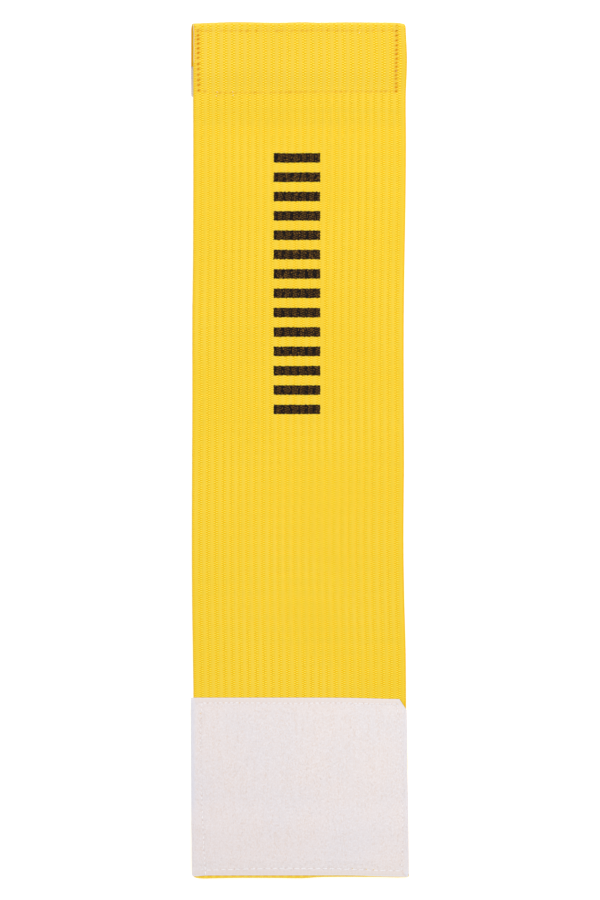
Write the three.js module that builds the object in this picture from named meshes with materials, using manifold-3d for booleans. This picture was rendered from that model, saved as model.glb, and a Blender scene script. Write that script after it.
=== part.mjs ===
// An elastic armband, unfastened and laid out flat with its front side up.
// A ribbed woven strip is folded over at both ends. A narrow hook tape is sewn under the upper
// end, over the raw edge of that fold. A wide loop patch is sewn on top of the lower end, over
// the raw edge of the other fold. Worn, the hook tape presses onto the loop patch.
// Millimetres. X runs across the strip, Y along it towards the hook tape, and Z is up from the
// surface that it lies on. The origin is at the middle of its outline, on that surface.
import * as THREE from "three";
import Module from "manifold-3d";
import { mergeVertices } from "three/addons/utils/BufferGeometryUtils.js";

const wasm = await Module();
wasm.setup();

// Driving dimensions.
const LENGTH = 362.5; // from the outside of one fold to the outside of the other
const LAYER_GAP = 0.3; // between two layers that lie on each other
const BAND = {
  crest: 1.5, // thickness over the ribs
  valley: 1.05, // thickness between the ribs
  edge: 0.6, // thickness of the woven edges
  ribs: 27,
  ribLand: 0.46, // the flat top of a rib, as a share of the rib pitch
  flap: 18.9, // length that is folded over at each end
};
const HOOK = {
  width: 30,
  length: 91,
  backing: 0.6,
  hooks: 1.4,
  selvage: 1.6, // plain border along both long edges
  corner: 1.0,
  inset: 1.75, // from the fold to the tape's near edge
  middleX: -0.65,
};
const LOOP = {
  backing: 0.6,
  pile: 1.2,
  border: 2.1, // plain border along the upper and lower edges
  shoulder: 1.1, // width over which the pile falls away at the cut sides
  sideHeight: 1.2, // thickness at the cut sides
  slant: 0.6, // how far the upper edge runs downhill towards the right
};
const FLAP_SHIFT = -0.85; // the hook-end fold was sewn a little askew, to the left
const TAPE_RAMP = 10.7; // length over which the strip climbs onto the hook tape
const FLAP_RAMP = 6.9; // length over which a layer climbs onto a flap
const RAMP_CLEARANCE = 0.4; // a ramp ends this far before what it climbs onto
const FOLD_REACH = 15; // how far from a fold its uneven line dies away
const FOLD_STEPS = 6;
const RAMP_STEPS = 3;

// The strip's outline: left and right edges, and how far it bows up off the surface.
const STRIP_ROWS = [
  { y: 181, left: -45.1, right: 44.6, lift: 0 },
  { y: 165, left: -45.2, right: 45.2, lift: 0 },
  { y: 148, left: -45.2, right: 44.7, lift: 0 },
  { y: 131, left: -45.2, right: 44.85, lift: 0 },
  { y: 106, left: -45.2, right: 44.65, lift: 0.35 },
  { y: 80, left: -45.3, right: 44.2, lift: 0.7 },
  { y: 55, left: -45.6, right: 43.9, lift: 0.35 },
  { y: 20, left: -45.6, right: 43.9, lift: 0 },
  { y: -5, left: -45.7, right: 44.0, lift: 0.3 },
  { y: -38, left: -45.8, right: 43.75, lift: 0.85 },
  { y: -63, left: -45.7, right: 44.1, lift: 0.45 },
  { y: -85, left: -45.4, right: 44.7, lift: 0 },
  { y: -102, left: -45.15, right: 44.85, lift: 0 },
  { y: -148, left: -45.1, right: 45.6, lift: 0 },
  { y: -181, left: -44.9, right: 46.2, lift: 0 },
];

// How far each fold line stands back from a straight one, across the strip.
const FOLD_ROWS = [
  { x: -45, hook: 0.6, loop: 0.25 },
  { x: -40, hook: 0.4, loop: 0.0 },
  { x: -27, hook: 0.0, loop: 0.1 },
  { x: -10, hook: 0.3, loop: 0.1 },
  { x: 1, hook: 0.05, loop: 0.05 },
  { x: 8, hook: 0.25, loop: 0.5 },
  { x: 20, hook: 0.1, loop: 0.6 },
  { x: 34, hook: 0.3, loop: 0.65 },
  { x: 45, hook: 0.7, loop: 0.5 },
];

// The loop patch's outline. Its upper right corner is cut off.
const PATCH_ROWS = [
  { y: -104.8, left: -46.2, right: 42.15 },
  { y: -109.7, left: -46.2, right: 45.15 },
  { y: -121.8, left: -46.15, right: 45.5 },
  { y: -148.1, left: -46.1, right: 45.6 },
  { y: -165.9, left: -45.85, right: 45.8 },
  { y: -180.35, left: -45.6, right: 46.2 },
];

// Levels and places worked out from the dimensions.
const halfBand = BAND.crest / 2;
const layerStep = BAND.crest + LAYER_GAP;
const foldRadius = layerStep / 2; // of the strip's middle line
const foldCentre = LENGTH / 2 - foldRadius - halfBand;
const flapEnd = LENGTH / 2 - BAND.flap;
const tapeTop = HOOK.backing + HOOK.hooks;
const tapeStep = tapeTop + LAYER_GAP;
const tapeNear = LENGTH / 2 - HOOK.inset;
const tapeFar = tapeNear - HOOK.width;
const loopThickness = LOOP.backing + LOOP.pile;
const patchTop = PATCH_ROWS[0].y;
const patchBottom = PATCH_ROWS.at(-1).y;

function smooth(t) {
  const c = Math.min(1, Math.max(0, t));
  return c * c * (3 - 2 * c);
}

// A table's column at a place along its key, on a smooth curve through the rows.
function along(rows, key, column, at) {
  const sorted = rows[0][key] < rows.at(-1)[key] ? rows : [...rows].reverse();
  const last = sorted.length - 1;
  const place = Math.min(sorted[last][key], Math.max(sorted[0][key], at));
  const next = Math.max(1, sorted.findIndex((row) => row[key] >= place));
  const slope = (i) => {
    const low = sorted[Math.max(0, i - 1)];
    const high = sorted[Math.min(last, i + 1)];
    return (high[column] - low[column]) / (high[key] - low[key]);
  };
  const from = sorted[next - 1];
  const to = sorted[next];
  const span = to[key] - from[key];
  const t = (place - from[key]) / span;
  return (
    from[column] * (1 + 2 * t) * (1 - t) ** 2 +
    slope(next - 1) * span * t * (1 - t) ** 2 +
    to[column] * t * t * (3 - 2 * t) +
    slope(next) * span * t * t * (t - 1)
  );
}

// A closed skin over rings of points. The outline gives a ring's flat shape, for the two ends.
function skin(rings, outline) {
  const count = outline.length;
  const positions = rings.flat().flatMap((p) => [p.x, p.y, p.z]);
  const index = [];
  for (let r = 0; r + 1 < rings.length; r += 1) {
    for (let k = 0; k < count; k += 1) {
      const a = r * count + k;
      const b = r * count + ((k + 1) % count);
      index.push(a, b, b + count, a, b + count, a + count);
    }
  }
  const lastRing = (rings.length - 1) * count;
  for (const [a, b, c] of THREE.ShapeUtils.triangulateShape(outline, [])) {
    index.push(c, b, a, lastRing + a, lastRing + b, lastRing + c);
  }
  const geometry = new THREE.BufferGeometry();
  geometry.setAttribute("position", new THREE.Float32BufferAttribute(positions, 3));
  geometry.setIndex(index);
  return geometry;
}

// The strip's cross-section: across runs from 0 to 1 over its width, and out is the distance
// from its middle surface towards the front. Both faces are ribbed, the front with flat tops.
function ribSection() {
  const pitch = 1 / BAND.ribs;
  const land = (BAND.ribLand * pitch) / 2;
  const ribs = [...Array(BAND.ribs).keys()];
  const front = ribs.flatMap((i) => [
    { across: (i + 0.5) * pitch - land, out: halfBand },
    { across: (i + 0.5) * pitch + land, out: halfBand },
    { across: (i + 1) * pitch, out: BAND.valley / 2 },
  ]);
  const back = ribs.flatMap((i) => [
    { across: (i + 0.5) * pitch, out: -halfBand },
    { across: (i + 1) * pitch, out: -BAND.valley / 2 },
  ]);
  const leftEdge = { across: 0, out: BAND.edge / 2 };
  const rightEdge = { across: 1, out: BAND.edge / 2 };
  return [
    { ...leftEdge, out: -leftEdge.out },
    ...back.slice(0, -1),
    { ...rightEdge, out: -rightEdge.out },
    rightEdge,
    ...front.slice(0, -1).reverse(),
    leftEdge,
  ];
}

// Height of the strip's middle surface along its main run.
function stripHeight(y) {
  const ontoTape = (y - (tapeFar - RAMP_CLEARANCE - TAPE_RAMP)) / TAPE_RAMP;
  const ontoFlap = (y - (flapEnd - RAMP_CLEARANCE - FLAP_RAMP)) / FLAP_RAMP;
  return (
    halfBand +
    Math.max(0, along(STRIP_ROWS, "y", "lift", y)) +
    tapeStep * smooth(ontoTape) +
    layerStep * smooth(ontoFlap)
  );
}

// Evenly spaced values from one to another, both included.
function spaced(from, to, steps) {
  return [...Array(steps + 1).keys()].map((i) => from + ((to - from) * i) / steps);
}

// The strip's middle line from the hook-end flap's raw edge, over the top, down the main run
// and round the other fold to the loop-end flap's raw edge. The face points to the front side.
function stripStations() {
  const overTape = stripHeight(tapeFar);
  const flapRow = (y, z, face, shift) => ({ y, z, face: [0, face], shift });
  const turn = (end, middle) => (angle) => ({
    y: end * (foldCentre + foldRadius * Math.cos(angle)),
    z: middle + foldRadius * Math.sin(angle),
    face: [Math.cos(angle), end * Math.sin(angle)],
    shift: end > 0 ? (FLAP_SHIFT * (1 - Math.sin(angle))) / 2 : 0,
  });
  const quarter = Math.PI / 2;
  const upperTurn = spaced(-quarter, quarter, FOLD_STEPS).map(turn(1, overTape + foldRadius));
  const lowerTurn = spaced(-quarter, quarter, FOLD_STEPS).map(turn(-1, halfBand + foldRadius));
  const flapRampEnd = flapEnd - RAMP_CLEARANCE;
  const tapeRampEnd = tapeFar - RAMP_CLEARANCE;
  const rows = STRIP_ROWS.map((row) => row.y);
  const mainRun = [
    ...spaced(flapRampEnd, flapRampEnd - FLAP_RAMP, RAMP_STEPS),
    ...spaced(tapeRampEnd, tapeRampEnd - TAPE_RAMP, RAMP_STEPS),
    ...rows.filter((y) => y < tapeRampEnd - TAPE_RAMP && y > -foldCentre),
  ].map((y) => {
    const rise = (stripHeight(y + 0.1) - stripHeight(y - 0.1)) / 0.2;
    const size = Math.hypot(rise, 1);
    return { y, z: stripHeight(y), face: [-rise / size, 1 / size], shift: 0 };
  });
  return [
    flapRow(flapEnd, overTape, -1, FLAP_SHIFT),
    ...upperTurn,
    ...mainRun,
    ...lowerTurn,
    flapRow(-flapEnd, halfBand + layerStep, -1, 0),
  ];
}

function elasticBand() {
  const section = ribSection();
  const rings = stripStations().map(({ y, z, face, shift }) => {
    const left = along(STRIP_ROWS, "y", "left", y) + shift;
    const right = along(STRIP_ROWS, "y", "right", y) + shift;
    const nearHook = smooth(1 - (LENGTH / 2 - y) / FOLD_REACH);
    const nearLoop = smooth(1 - (LENGTH / 2 + y) / FOLD_REACH);
    return section.map(({ across, out }) => {
      const x = left + (right - left) * across;
      const back =
        nearLoop * along(FOLD_ROWS, "x", "loop", x) - nearHook * along(FOLD_ROWS, "x", "hook", x);
      return new THREE.Vector3(x, y + back + face[0] * out, z + face[1] * out);
    });
  });
  return skin(rings, section.map(({ across, out }) => new THREE.Vector2(across, out)));
}

// A closed mesh as a solid that can be joined to another.
function solid(geometry) {
  const bare = geometry.index ? geometry.toNonIndexed() : geometry.clone();
  bare.deleteAttribute("normal");
  bare.deleteAttribute("uv");
  const merged = mergeVertices(bare, 1e-4);
  return new wasm.Manifold(
    new wasm.Mesh({
      numProp: 3,
      vertProperties: merged.attributes.position.array,
      triVerts: new Uint32Array(merged.index.array),
    }),
  );
}

function geometryOf(manifold) {
  const mesh = manifold.getMesh();
  const geometry = new THREE.BufferGeometry();
  geometry.setAttribute("position", new THREE.BufferAttribute(mesh.vertProperties, 3));
  geometry.setIndex(new THREE.BufferAttribute(mesh.triVerts, 1));
  return geometry;
}

// The tape's backing, with rounded corners, over a block that stands for its field of hooks.
function hookTape() {
  const halfLength = HOOK.length / 2;
  const halfWidth = HOOK.width / 2;
  const r = HOOK.corner;
  const outline = new THREE.Shape();
  outline.moveTo(-halfLength + r, -halfWidth);
  outline.absarc(halfLength - r, -halfWidth + r, r, -Math.PI / 2, 0);
  outline.absarc(halfLength - r, halfWidth - r, r, 0, Math.PI / 2);
  outline.absarc(-halfLength + r, halfWidth - r, r, Math.PI / 2, Math.PI);
  outline.absarc(-halfLength + r, -halfWidth + r, r, Math.PI, Math.PI * 1.5);
  const backing = new THREE.ExtrudeGeometry(outline, {
    depth: HOOK.backing,
    bevelEnabled: false,
    curveSegments: 4,
  }).translate(0, 0, HOOK.hooks);
  const bite = HOOK.backing / 2; // how far the block runs up into the backing
  const fieldHeight = HOOK.hooks + bite;
  const field = new THREE.BoxGeometry(
    HOOK.length - 2 * r,
    HOOK.width - 2 * HOOK.selvage,
    fieldHeight,
  ).translate(0, 0, fieldHeight / 2);
  return geometryOf(solid(backing).add(solid(field)));
}

// The loop patch: a backing with a raised pile between its plain upper and lower borders. It
// runs level over the strip and climbs onto the flap near its lower edge.
function loopPatch() {
  const rampTop = -flapEnd + RAMP_CLEARANCE;
  const underside = (y) =>
    BAND.crest + LAYER_GAP + layerStep * smooth((rampTop + FLAP_RAMP - y) / FLAP_RAMP);
  const wall = 0.25; // run of the pile's steep end
  const upperField = patchTop - LOOP.border;
  const lowerField = patchBottom + LOOP.border;
  const stations = [
    { y: patchTop, pile: 0 },
    { y: upperField + wall, pile: 0 },
    { y: upperField, pile: 1 },
    ...PATCH_ROWS.slice(1, -2).map(({ y }) => ({ y, pile: 1 })),
    ...spaced(rampTop + FLAP_RAMP, rampTop, RAMP_STEPS).map((y) => ({ y, pile: 1 })),
    { y: lowerField, pile: 1 },
    { y: lowerField - wall, pile: 0 },
    { y: patchBottom, pile: 0 },
  ];
  const ringOf = ({ y, pile }) => {
    // The first span is the cut corner, a straight line. Below it the sides are smooth.
    const cut = Math.min(1, (PATCH_ROWS[0].y - y) / (PATCH_ROWS[0].y - PATCH_ROWS[1].y));
    const sides = PATCH_ROWS.slice(1);
    const left = along(PATCH_ROWS, "y", "left", y);
    const cornerRight = THREE.MathUtils.lerp(PATCH_ROWS[0].right, PATCH_ROWS[1].right, cut);
    const right = cut < 1 ? cornerRight : along(sides, "y", "right", y);
    const low = underside(y);
    const side = low + (pile ? LOOP.sideHeight : LOOP.backing);
    const top = low + (pile ? loopThickness : LOOP.backing);
    const slantShare = 1 - smooth((patchTop - y) / FOLD_REACH);
    const at = (x, z) => {
      const slant = LOOP.slant * slantShare * smooth(x / PATCH_ROWS[0].right);
      return new THREE.Vector3(x, y - slant, z);
    };
    return [
      at(left, low),
      at(right, low),
      at(right, side),
      at(right - LOOP.shoulder, top),
      at(left + LOOP.shoulder, top),
      at(left, side),
    ];
  };
  const outline = [
    new THREE.Vector2(0, 0),
    new THREE.Vector2(10, 0),
    new THREE.Vector2(10, 1),
    new THREE.Vector2(9, 1.5),
    new THREE.Vector2(1, 1.5),
    new THREE.Vector2(0, 1),
  ];
  return skin(stations.map(ringOf), outline);
}

const fabric = (color, roughness) =>
  new THREE.MeshStandardMaterial({ color, roughness, metalness: 0 });
const yellowElastic = fabric(0xf3cd31, 0.85);
const whiteLoop = fabric(0xe6e0e2, 0.95);
const whiteHook = fabric(0xe4dfe4, 0.7);

function piece(name, geometry, material) {
  const mesh = new THREE.Mesh(geometry, material);
  mesh.name = name;
  return mesh;
}

const armband = new THREE.Group();
const tape = piece("hook_tape", hookTape(), whiteHook);
tape.position.set(HOOK.middleX, (tapeNear + tapeFar) / 2, 0);
armband.add(
  piece("elastic_band", elasticBand(), yellowElastic),
  tape,
  piece("loop_patch", loopPatch(), whiteLoop),
);

export default armband;
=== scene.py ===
"""An elastic armband, unfastened and laid flat: its cloth, fasteners, threads and the studio.

Shapes are worked out in millimetres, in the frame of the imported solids, and become metres when a
mesh is made from them. Finishes read places in metres.
"""

import logging
import math
from collections.abc import Callable, Sequence
from dataclasses import dataclass, field
from enum import Enum

import bpy
import numpy as np
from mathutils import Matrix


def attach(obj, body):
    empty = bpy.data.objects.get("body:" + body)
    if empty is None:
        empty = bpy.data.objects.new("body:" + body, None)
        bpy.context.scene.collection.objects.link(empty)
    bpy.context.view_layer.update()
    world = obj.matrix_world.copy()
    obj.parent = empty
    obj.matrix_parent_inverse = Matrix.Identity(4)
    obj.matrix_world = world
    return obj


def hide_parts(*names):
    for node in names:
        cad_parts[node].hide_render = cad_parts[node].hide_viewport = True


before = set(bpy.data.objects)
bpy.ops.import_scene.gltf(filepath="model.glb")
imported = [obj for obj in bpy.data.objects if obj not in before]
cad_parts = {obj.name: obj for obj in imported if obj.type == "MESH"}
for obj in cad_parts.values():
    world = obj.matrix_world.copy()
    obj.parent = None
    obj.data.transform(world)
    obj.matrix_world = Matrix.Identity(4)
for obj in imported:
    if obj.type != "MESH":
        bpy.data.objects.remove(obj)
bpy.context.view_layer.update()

Array = np.ndarray
Pair = tuple[float, float]
Row = tuple[float, ...]
Place = tuple[float, float, float]
Colour = tuple[float, float, float]
Level = Callable[[Array, Array], Array]
Node, Socket, Tree = bpy.types.Node, bpy.types.NodeSocket, bpy.types.NodeTree
Material, Piece = bpy.types.Material, bpy.types.Object

MM = 0.001
UP = np.array([0.0, 0.0, 1.0])
LOG = logging.getLogger("armband")


class Slot(Enum):
    """The record's material slots."""

    ELASTIC = "elastic_yellow"
    HOOK = "hook_white"
    LOOP = "loop_white"
    YELLOW_THREAD = "thread_yellow"
    WHITE_THREAD = "thread_white"


class Side(Enum):
    """A face of the strip, with the way it lies from the middle surface."""

    FRONT = 1
    BACK = -1


# Curves and faces


def smooth(t: Array) -> Array:
    """Ease from 0 to 1 as t goes from 0 to 1: three t squared less two t cubed.

    Args:
        t: Any values; those outside 0 to 1 are clamped.

    Returns:
        The eased values.
    """
    c = np.clip(t, 0.0, 1.0)
    return c * c * (3 - 2 * c)


@dataclass(frozen=True)
class Curve:
    """A smooth curve through the rows of a table, in the way that the solids' curves are."""

    keys: Row
    values: Row

    def at(self, place: Array) -> Array:
        """Read the curve.

        A cubic Hermite curve. The slope at a row is that of the line between its neighbours.

        Args:
            place: Keys to read it at, clamped to the table's range.

        Returns:
            The value at each key.
        """
        order = np.argsort(self.keys)
        key, value = np.array(self.keys)[order], np.array(self.values)[order]
        last = len(key) - 1
        low = np.maximum(np.arange(last + 1) - 1, 0)
        high = np.minimum(np.arange(last + 1) + 1, last)
        slope = (value[high] - value[low]) / (key[high] - key[low])
        x = np.clip(place, key[0], key[-1])
        i = np.clip(np.searchsorted(key, x, side="right") - 1, 0, last - 1)
        span = key[i + 1] - key[i]
        t = (x - key[i]) / span
        return (
            value[i] * (1 + 2 * t) * (1 - t) ** 2
            + slope[i] * span * t * (1 - t) ** 2
            + value[i + 1] * t * t * (3 - 2 * t)
            + slope[i + 1] * span * t * t * (t - 1)
        )


def line_distance(gap: Array, reach: Array) -> Array:
    """Distance from points to straight lines.

    The nearest place on a line is a share of its length: the gap times the reach, over the reach
    times itself, clamped to 0 and 1.

    Args:
        gap: Ways from the lines' starts to the points.
        reach: Ways from the lines' starts to their ends.

    Returns:
        The distances.
    """
    t = np.clip((gap * reach).sum(-1) / (reach**2).sum(-1), 0, 1)
    return np.linalg.norm(gap - t[..., None] * reach, axis=-1)


def loft_faces(rings: int, around: int, count: int = 1) -> list[Array]:
    """Faces of closed skins over rings of points, each with both ends capped.

    Point k of ring r joins point k + 1 of the same ring and the same two of the next ring.

    Args:
        rings: Rings in one skin.
        around: Points in one ring.
        count: How many such skins follow each other in the points.

    Returns:
        The four-sided faces, then the first caps, then the last caps.
    """
    r = (np.arange(rings - 1) * around)[:, None]
    k = np.arange(around)[None, :]
    n = (k + 1) % around
    quads = np.stack([r + k, r + n, r + around + n, r + around + k], -1).reshape(-1, 4)
    start = (np.arange(count) * rings * around)[:, None]
    sides = (start[:, :, None] + quads[None]).reshape(-1, 4)
    first = start + np.arange(around)[::-1][None, :]
    last = start + (rings - 1) * around + np.arange(around)[None, :]
    return [sides, first, last]


def tubes(path: Array, radius: Array, sides: int, up: Array = UP) -> Array:
    """Points of round tubes carried along paths.

    A ring's point is its centre plus the radius times the cosine of the turn along the side
    direction and the sine along the upward one. The side direction is up crossed with the path.

    Args:
        path: Centres, as tubes by rings by 3.
        radius: Radius at each ring, that broadcasts to tubes by rings.
        sides: Points in a ring.
        up: A direction roughly square to the paths.

    Returns:
        Points, as tubes by rings by sides by 3.
    """
    tangent = np.gradient(path, axis=1)
    tangent /= np.linalg.norm(tangent, axis=-1, keepdims=True)
    side = np.cross(np.broadcast_to(up, path.shape), tangent)
    side /= np.linalg.norm(side, axis=-1, keepdims=True)
    over = np.cross(tangent, side)
    turn = np.arange(sides) * 2 * math.pi / sides
    size = np.broadcast_to(radius, path.shape[:2])[:, :, None, None]
    return path[:, :, None, :] + size * (
        np.cos(turn)[:, None] * side[:, :, None, :] + np.sin(turn)[:, None] * over[:, :, None, :]
    )


def make_piece(
    name: str,
    points: Array,
    faces: Sequence[Array],
    material: Material,
    slot: Slot,
    maps: dict[str, Array] | None = None,
    marks: dict[str, Array] | None = None,
) -> Piece:
    """Make one piece of the armband from arrays, and let it ride on the body.

    Args:
        name: The piece's name.
        points: Its points in millimetres, in any shape that ends with 3.
        faces: Arrays of faces, each of one number of corners.
        material: Its finish.
        slot: The record's slot that the finish stands for; not used.
        maps: UV maps by name, with a pair of values for each point.
        marks: Values by name, one for each point, for the material to read.

    Returns:
        The new object.
    """
    mesh = bpy.data.meshes.new(name)
    flat = points.reshape(-1, 3) * MM
    corners = np.concatenate([f.ravel() for f in faces]).astype(np.int32)
    sizes = np.concatenate([np.full(len(f), f.shape[1]) for f in faces])
    starts = (np.cumsum(sizes) - sizes).astype(np.int32)
    mesh.vertices.add(len(flat))
    mesh.vertices.foreach_set("co", flat.astype(np.float32).ravel())
    mesh.loops.add(len(corners))
    mesh.loops.foreach_set("vertex_index", corners)
    mesh.polygons.add(len(starts))
    mesh.polygons.foreach_set("loop_start", starts)
    mesh.polygons.foreach_set("use_smooth", np.ones(len(starts), bool))
    for key, values in (maps or {}).items():
        layer = mesh.uv_layers.new(name=key)
        layer.uv.foreach_set("vector", values.reshape(-1, 2)[corners].astype(np.float32).ravel())
    for key, values in (marks or {}).items():
        attribute = mesh.attributes.new(key, "FLOAT", "POINT")
        attribute.data.foreach_set("value", values.astype(np.float32).ravel())
    mesh.materials.append(material)
    mesh.update(calc_edges=True)
    mesh.validate()
    piece = bpy.data.objects.new(name, mesh)
    bpy.context.scene.collection.objects.link(piece)
    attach(piece, "root")
    triangles = int((sizes - 2).sum())
    LOG.info("%s: %d points, %d triangles", name, len(flat), triangles)
    return piece


def make_tubes(
    name: str,
    points: Array,
    material: Material,
    slot: Slot,
    marks: dict[str, Array] | None = None,
) -> Piece:
    """Make one piece of closed tubes, such as a seam's thread.

    Args:
        name: The piece's name.
        points: Their points in millimetres, as tubes by rings by sides by 3.
        material: Their finish.
        slot: The record's slot that the finish stands for.
        marks: Values by name, one for each point, for the material to read.

    Returns:
        The new object.
    """
    count, rings, around = points.shape[:3]
    faces = loft_faces(rings, around, count)
    return make_piece(name, points, faces, material, slot, marks=marks)


# The strip's shape


@dataclass(frozen=True)
class StripLine:
    """The strip's middle line by its length, from the hook end's raw edge to the other one."""

    s: Array
    y: Array
    z: Array
    face_y: Array
    face_z: Array
    shift: Array
    picks: Array

    def read(self, s: Array) -> tuple[Array, ...]:
        """Read the line: y, z, the two parts of its face direction, and the sideways shift."""
        rows = (self.y, self.z, self.face_y, self.face_z, self.shift)
        return tuple(np.interp(s, self.s, row) for row in rows)


@dataclass(frozen=True)
class Strip:
    """The shape of the ribbed strip.

    Its sizes are those of the solids. Its ramps are longer and softer, and its edges and folds
    follow the real ones a few tenths of a millimetre closer.
    """

    length: float = 362.5  # from the outside of one fold to the outside of the other
    crest: float = 1.5  # thickness over the ribs
    valley: float = 1.05  # thickness between the ribs
    edge: float = 0.6  # thickness of the woven edges
    gap: float = 0.3  # between two layers that lie on each other
    ribs: int = 27
    rib_start: float = 0.30  # where a rib rises, as a share of the rib pitch
    rib_end: float = 0.80
    rib_flank: float = 0.09
    feet: float = 0.09  # how far the picks' feet fill a channel
    fold_fill: float = 0.06  # how much more of it the stretched cloth of a fold fills
    flap: float = 18.9  # length that is folded over at each end
    tape_top: float = 2.0
    tape_far: float = 149.5
    tape_ramp: float = 15.0  # length over which the strip climbs onto the hook tape
    flap_ramp: float = 10.0  # length over which it climbs onto its own flap
    clearance: float = 0.4  # a ramp ends this far before what it climbs onto
    reach: float = 15.0  # how far from a fold its uneven line dies away
    flap_shift: float = -0.85  # the hook-end fold was sewn a little askew, to the left
    flap_steps: int = 29  # steps of the middle line on a flap, in a fold and on the main run
    turn_steps: int = 16
    run_steps: int = 720
    # At these places along: the left edge, the right one, and how far the strip lifts off.
    rows: Row = (
        181, 165, 148, 131, 106, 80, 55, 20, -5, -38, -63, -85, -102, -112, -126, -137, -148,
        -172, -178.2, -179.8,
    )
    left: Row = (
        -45.15, -45.25, -45.25, -45.25, -45.25, -45.35, -45.65, -45.65, -45.75, -45.85, -45.75,
        -45.45, -45.2, -45.1, -45.0, -45.0, -44.95, -44.9, -45.0, -45.15,
    )
    right: Row = (
        44.7, 45.3, 44.8, 44.95, 44.75, 44.3, 44.0, 44.0, 44.1, 43.85, 44.2, 44.8, 44.95, 45.0,
        45.46, 45.52, 45.2, 45.15, 45.45, 46.15,
    )
    lift: Row = (
        0, 0, 0, 0, 0.35, 0.7, 0.35, 0, 0.3, 0.85, 0.45, 0, 0, 0, 0, 0, 0, 0, 0, 0,
    )
    # At these places across: how far each fold stands back from its end of the armband.
    fold_x: Row = (-45, -42.5, -40, -27, -10, 1, 8, 20, 34, 41, 45)
    hook_fold: Row = (0.6, 0.5, 0.4, 0.0, 0.3, 0.05, 0.25, 0.1, 0.22, 0.32, 0.95)
    loop_fold: Row = (
        0.21, -0.33, -0.4, -0.14, -0.16, -0.27, 0.19, 0.34, 0.25, 0.12, 0.16,
    )
    # At these places along: the distance from one pick to the next.
    pick_y: Row = (
        182, 164, 151, 146, 127, 108, 90, 71, 53, 34, 15, -3, -22, -40, -59, -78, -182,
    )
    pick: Row = (
        1.063, 1.063, 1.06, 0.94, 0.935, 0.935, 0.938, 0.947, 0.957, 0.949, 0.937, 0.9385, 0.937,
        0.935, 0.923, 0.927, 0.93,
    )

    @property
    def half(self) -> float:
        """Half the strip's thickness at a rib."""
        return self.crest / 2

    @property
    def channel_floor(self) -> float:
        """Distance of a channel's floor from the middle surface, with the picks' feet in it."""
        return self.valley / 2 + self.feet

    @property
    def layer(self) -> float:
        """The step from one layer of the strip to the next."""
        return self.crest + self.gap

    @property
    def fold_radius(self) -> float:
        """Radius of the middle line in a fold."""
        return self.layer / 2

    @property
    def fold_centre(self) -> float:
        """How far a fold's centre is from the middle of the armband."""
        return self.length / 2 - self.fold_radius - self.half

    @property
    def flap_end(self) -> float:
        """How far a flap's raw edge is from the middle of the armband."""
        return self.length / 2 - self.flap

    def height(self, y: Array) -> Array:
        """Height of the middle surface on the main run.

        Half the thickness, plus the lift, plus an eased step onto the tape and one onto the flap.

        Args:
            y: Places along the armband.

        Returns:
            The heights.
        """
        onto_tape = (y - (self.tape_far - self.clearance - self.tape_ramp)) / self.tape_ramp
        onto_flap = (y - (self.flap_end - self.clearance - self.flap_ramp)) / self.flap_ramp
        return (
            self.half
            + np.maximum(0.0, Curve(self.rows, self.lift).at(y))
            + (self.tape_top + self.gap) * smooth(onto_tape)
            + self.layer * smooth(onto_flap)
        )

    def line(self) -> StripLine:
        """Follow the strip from one raw edge to the other.

        A flap is level. A fold is a half circle, whose face direction turns with it. On the main
        run the face direction is square to the height's slope. The pick count is the length so far
        divided by the local distance between picks.

        Returns:
            The line, in steps of about half a millimetre.
        """
        r, centre, probe = self.fold_radius, self.fold_centre, 0.05
        over_tape = float(self.height(np.array(self.tape_far)))
        turn = np.linspace(-math.pi / 2, math.pi / 2, self.turn_steps + 1)
        run = np.linspace(centre, -centre, self.run_steps + 1)[1:-1]
        level = np.linspace(self.flap_end, centre, self.flap_steps + 1)[:-1]
        rise = (self.height(run + probe) - self.height(run - probe)) / (2 * probe)
        slant = np.hypot(rise, 1)
        cos, sin, flat = np.cos(turn), np.sin(turn), np.zeros_like(level)
        parts = (
            (level, flat + over_tape, flat, flat - 1, flat + self.flap_shift),
            (centre + r * cos, over_tape + r + r * sin, cos, sin, self.flap_shift * (1 - sin) / 2),
            (run, self.height(run), -rise / slant, 1 / slant, 0 * run),
            (-centre - r * cos, self.half + r + r * sin, cos, -sin, 0 * turn),
            (-level[::-1], flat + self.half + self.layer, flat, flat - 1, flat),
        )
        y, z, face_y, face_z, shift = (np.concatenate(column) for column in zip(*parts))
        step = np.hypot(np.diff(y), np.diff(z))
        s = np.concatenate([[0.0], np.cumsum(step)])
        pitch = np.interp(y, self.pick_y[::-1], self.pick[::-1])
        picks = np.concatenate([[0.0], np.cumsum(step / ((pitch[1:] + pitch[:-1]) / 2))])
        return StripLine(s, y, z, face_y, face_z, shift, picks)

    def place(self, line: StripLine, across: Array, s: Array, out: Array) -> Array:
        """Put points on the strip.

        A point starts on the middle line. It goes sideways by its share of the width between the
        two edge curves, back from a fold by the fold's uneven line, and out along the face
        direction.

        Args:
            line: The strip's middle line.
            across: Share of the width, from 0 at the left edge to 1.
            s: Length along the line.
            out: Distance from the middle surface, towards the front side.

        Returns:
            Points, in the arrays' common shape with 3 at the end.
        """
        across, s, out = np.broadcast_arrays(across, s, out)
        y, z, face_y, face_z, shift = line.read(s)
        left = Curve(self.rows, self.left).at(y) + shift
        right = Curve(self.rows, self.right).at(y) + shift
        x = left + (right - left) * across
        near_hook = smooth(1 - (self.length / 2 - y) / self.reach)
        near_loop = smooth(1 - (self.length / 2 + y) / self.reach)
        back = near_loop * Curve(self.fold_x, self.loop_fold).at(x)
        back = back - near_hook * Curve(self.fold_x, self.hook_fold).at(x)
        return np.stack([x, y + back + face_y * out, z + face_z * out], -1)

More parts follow.
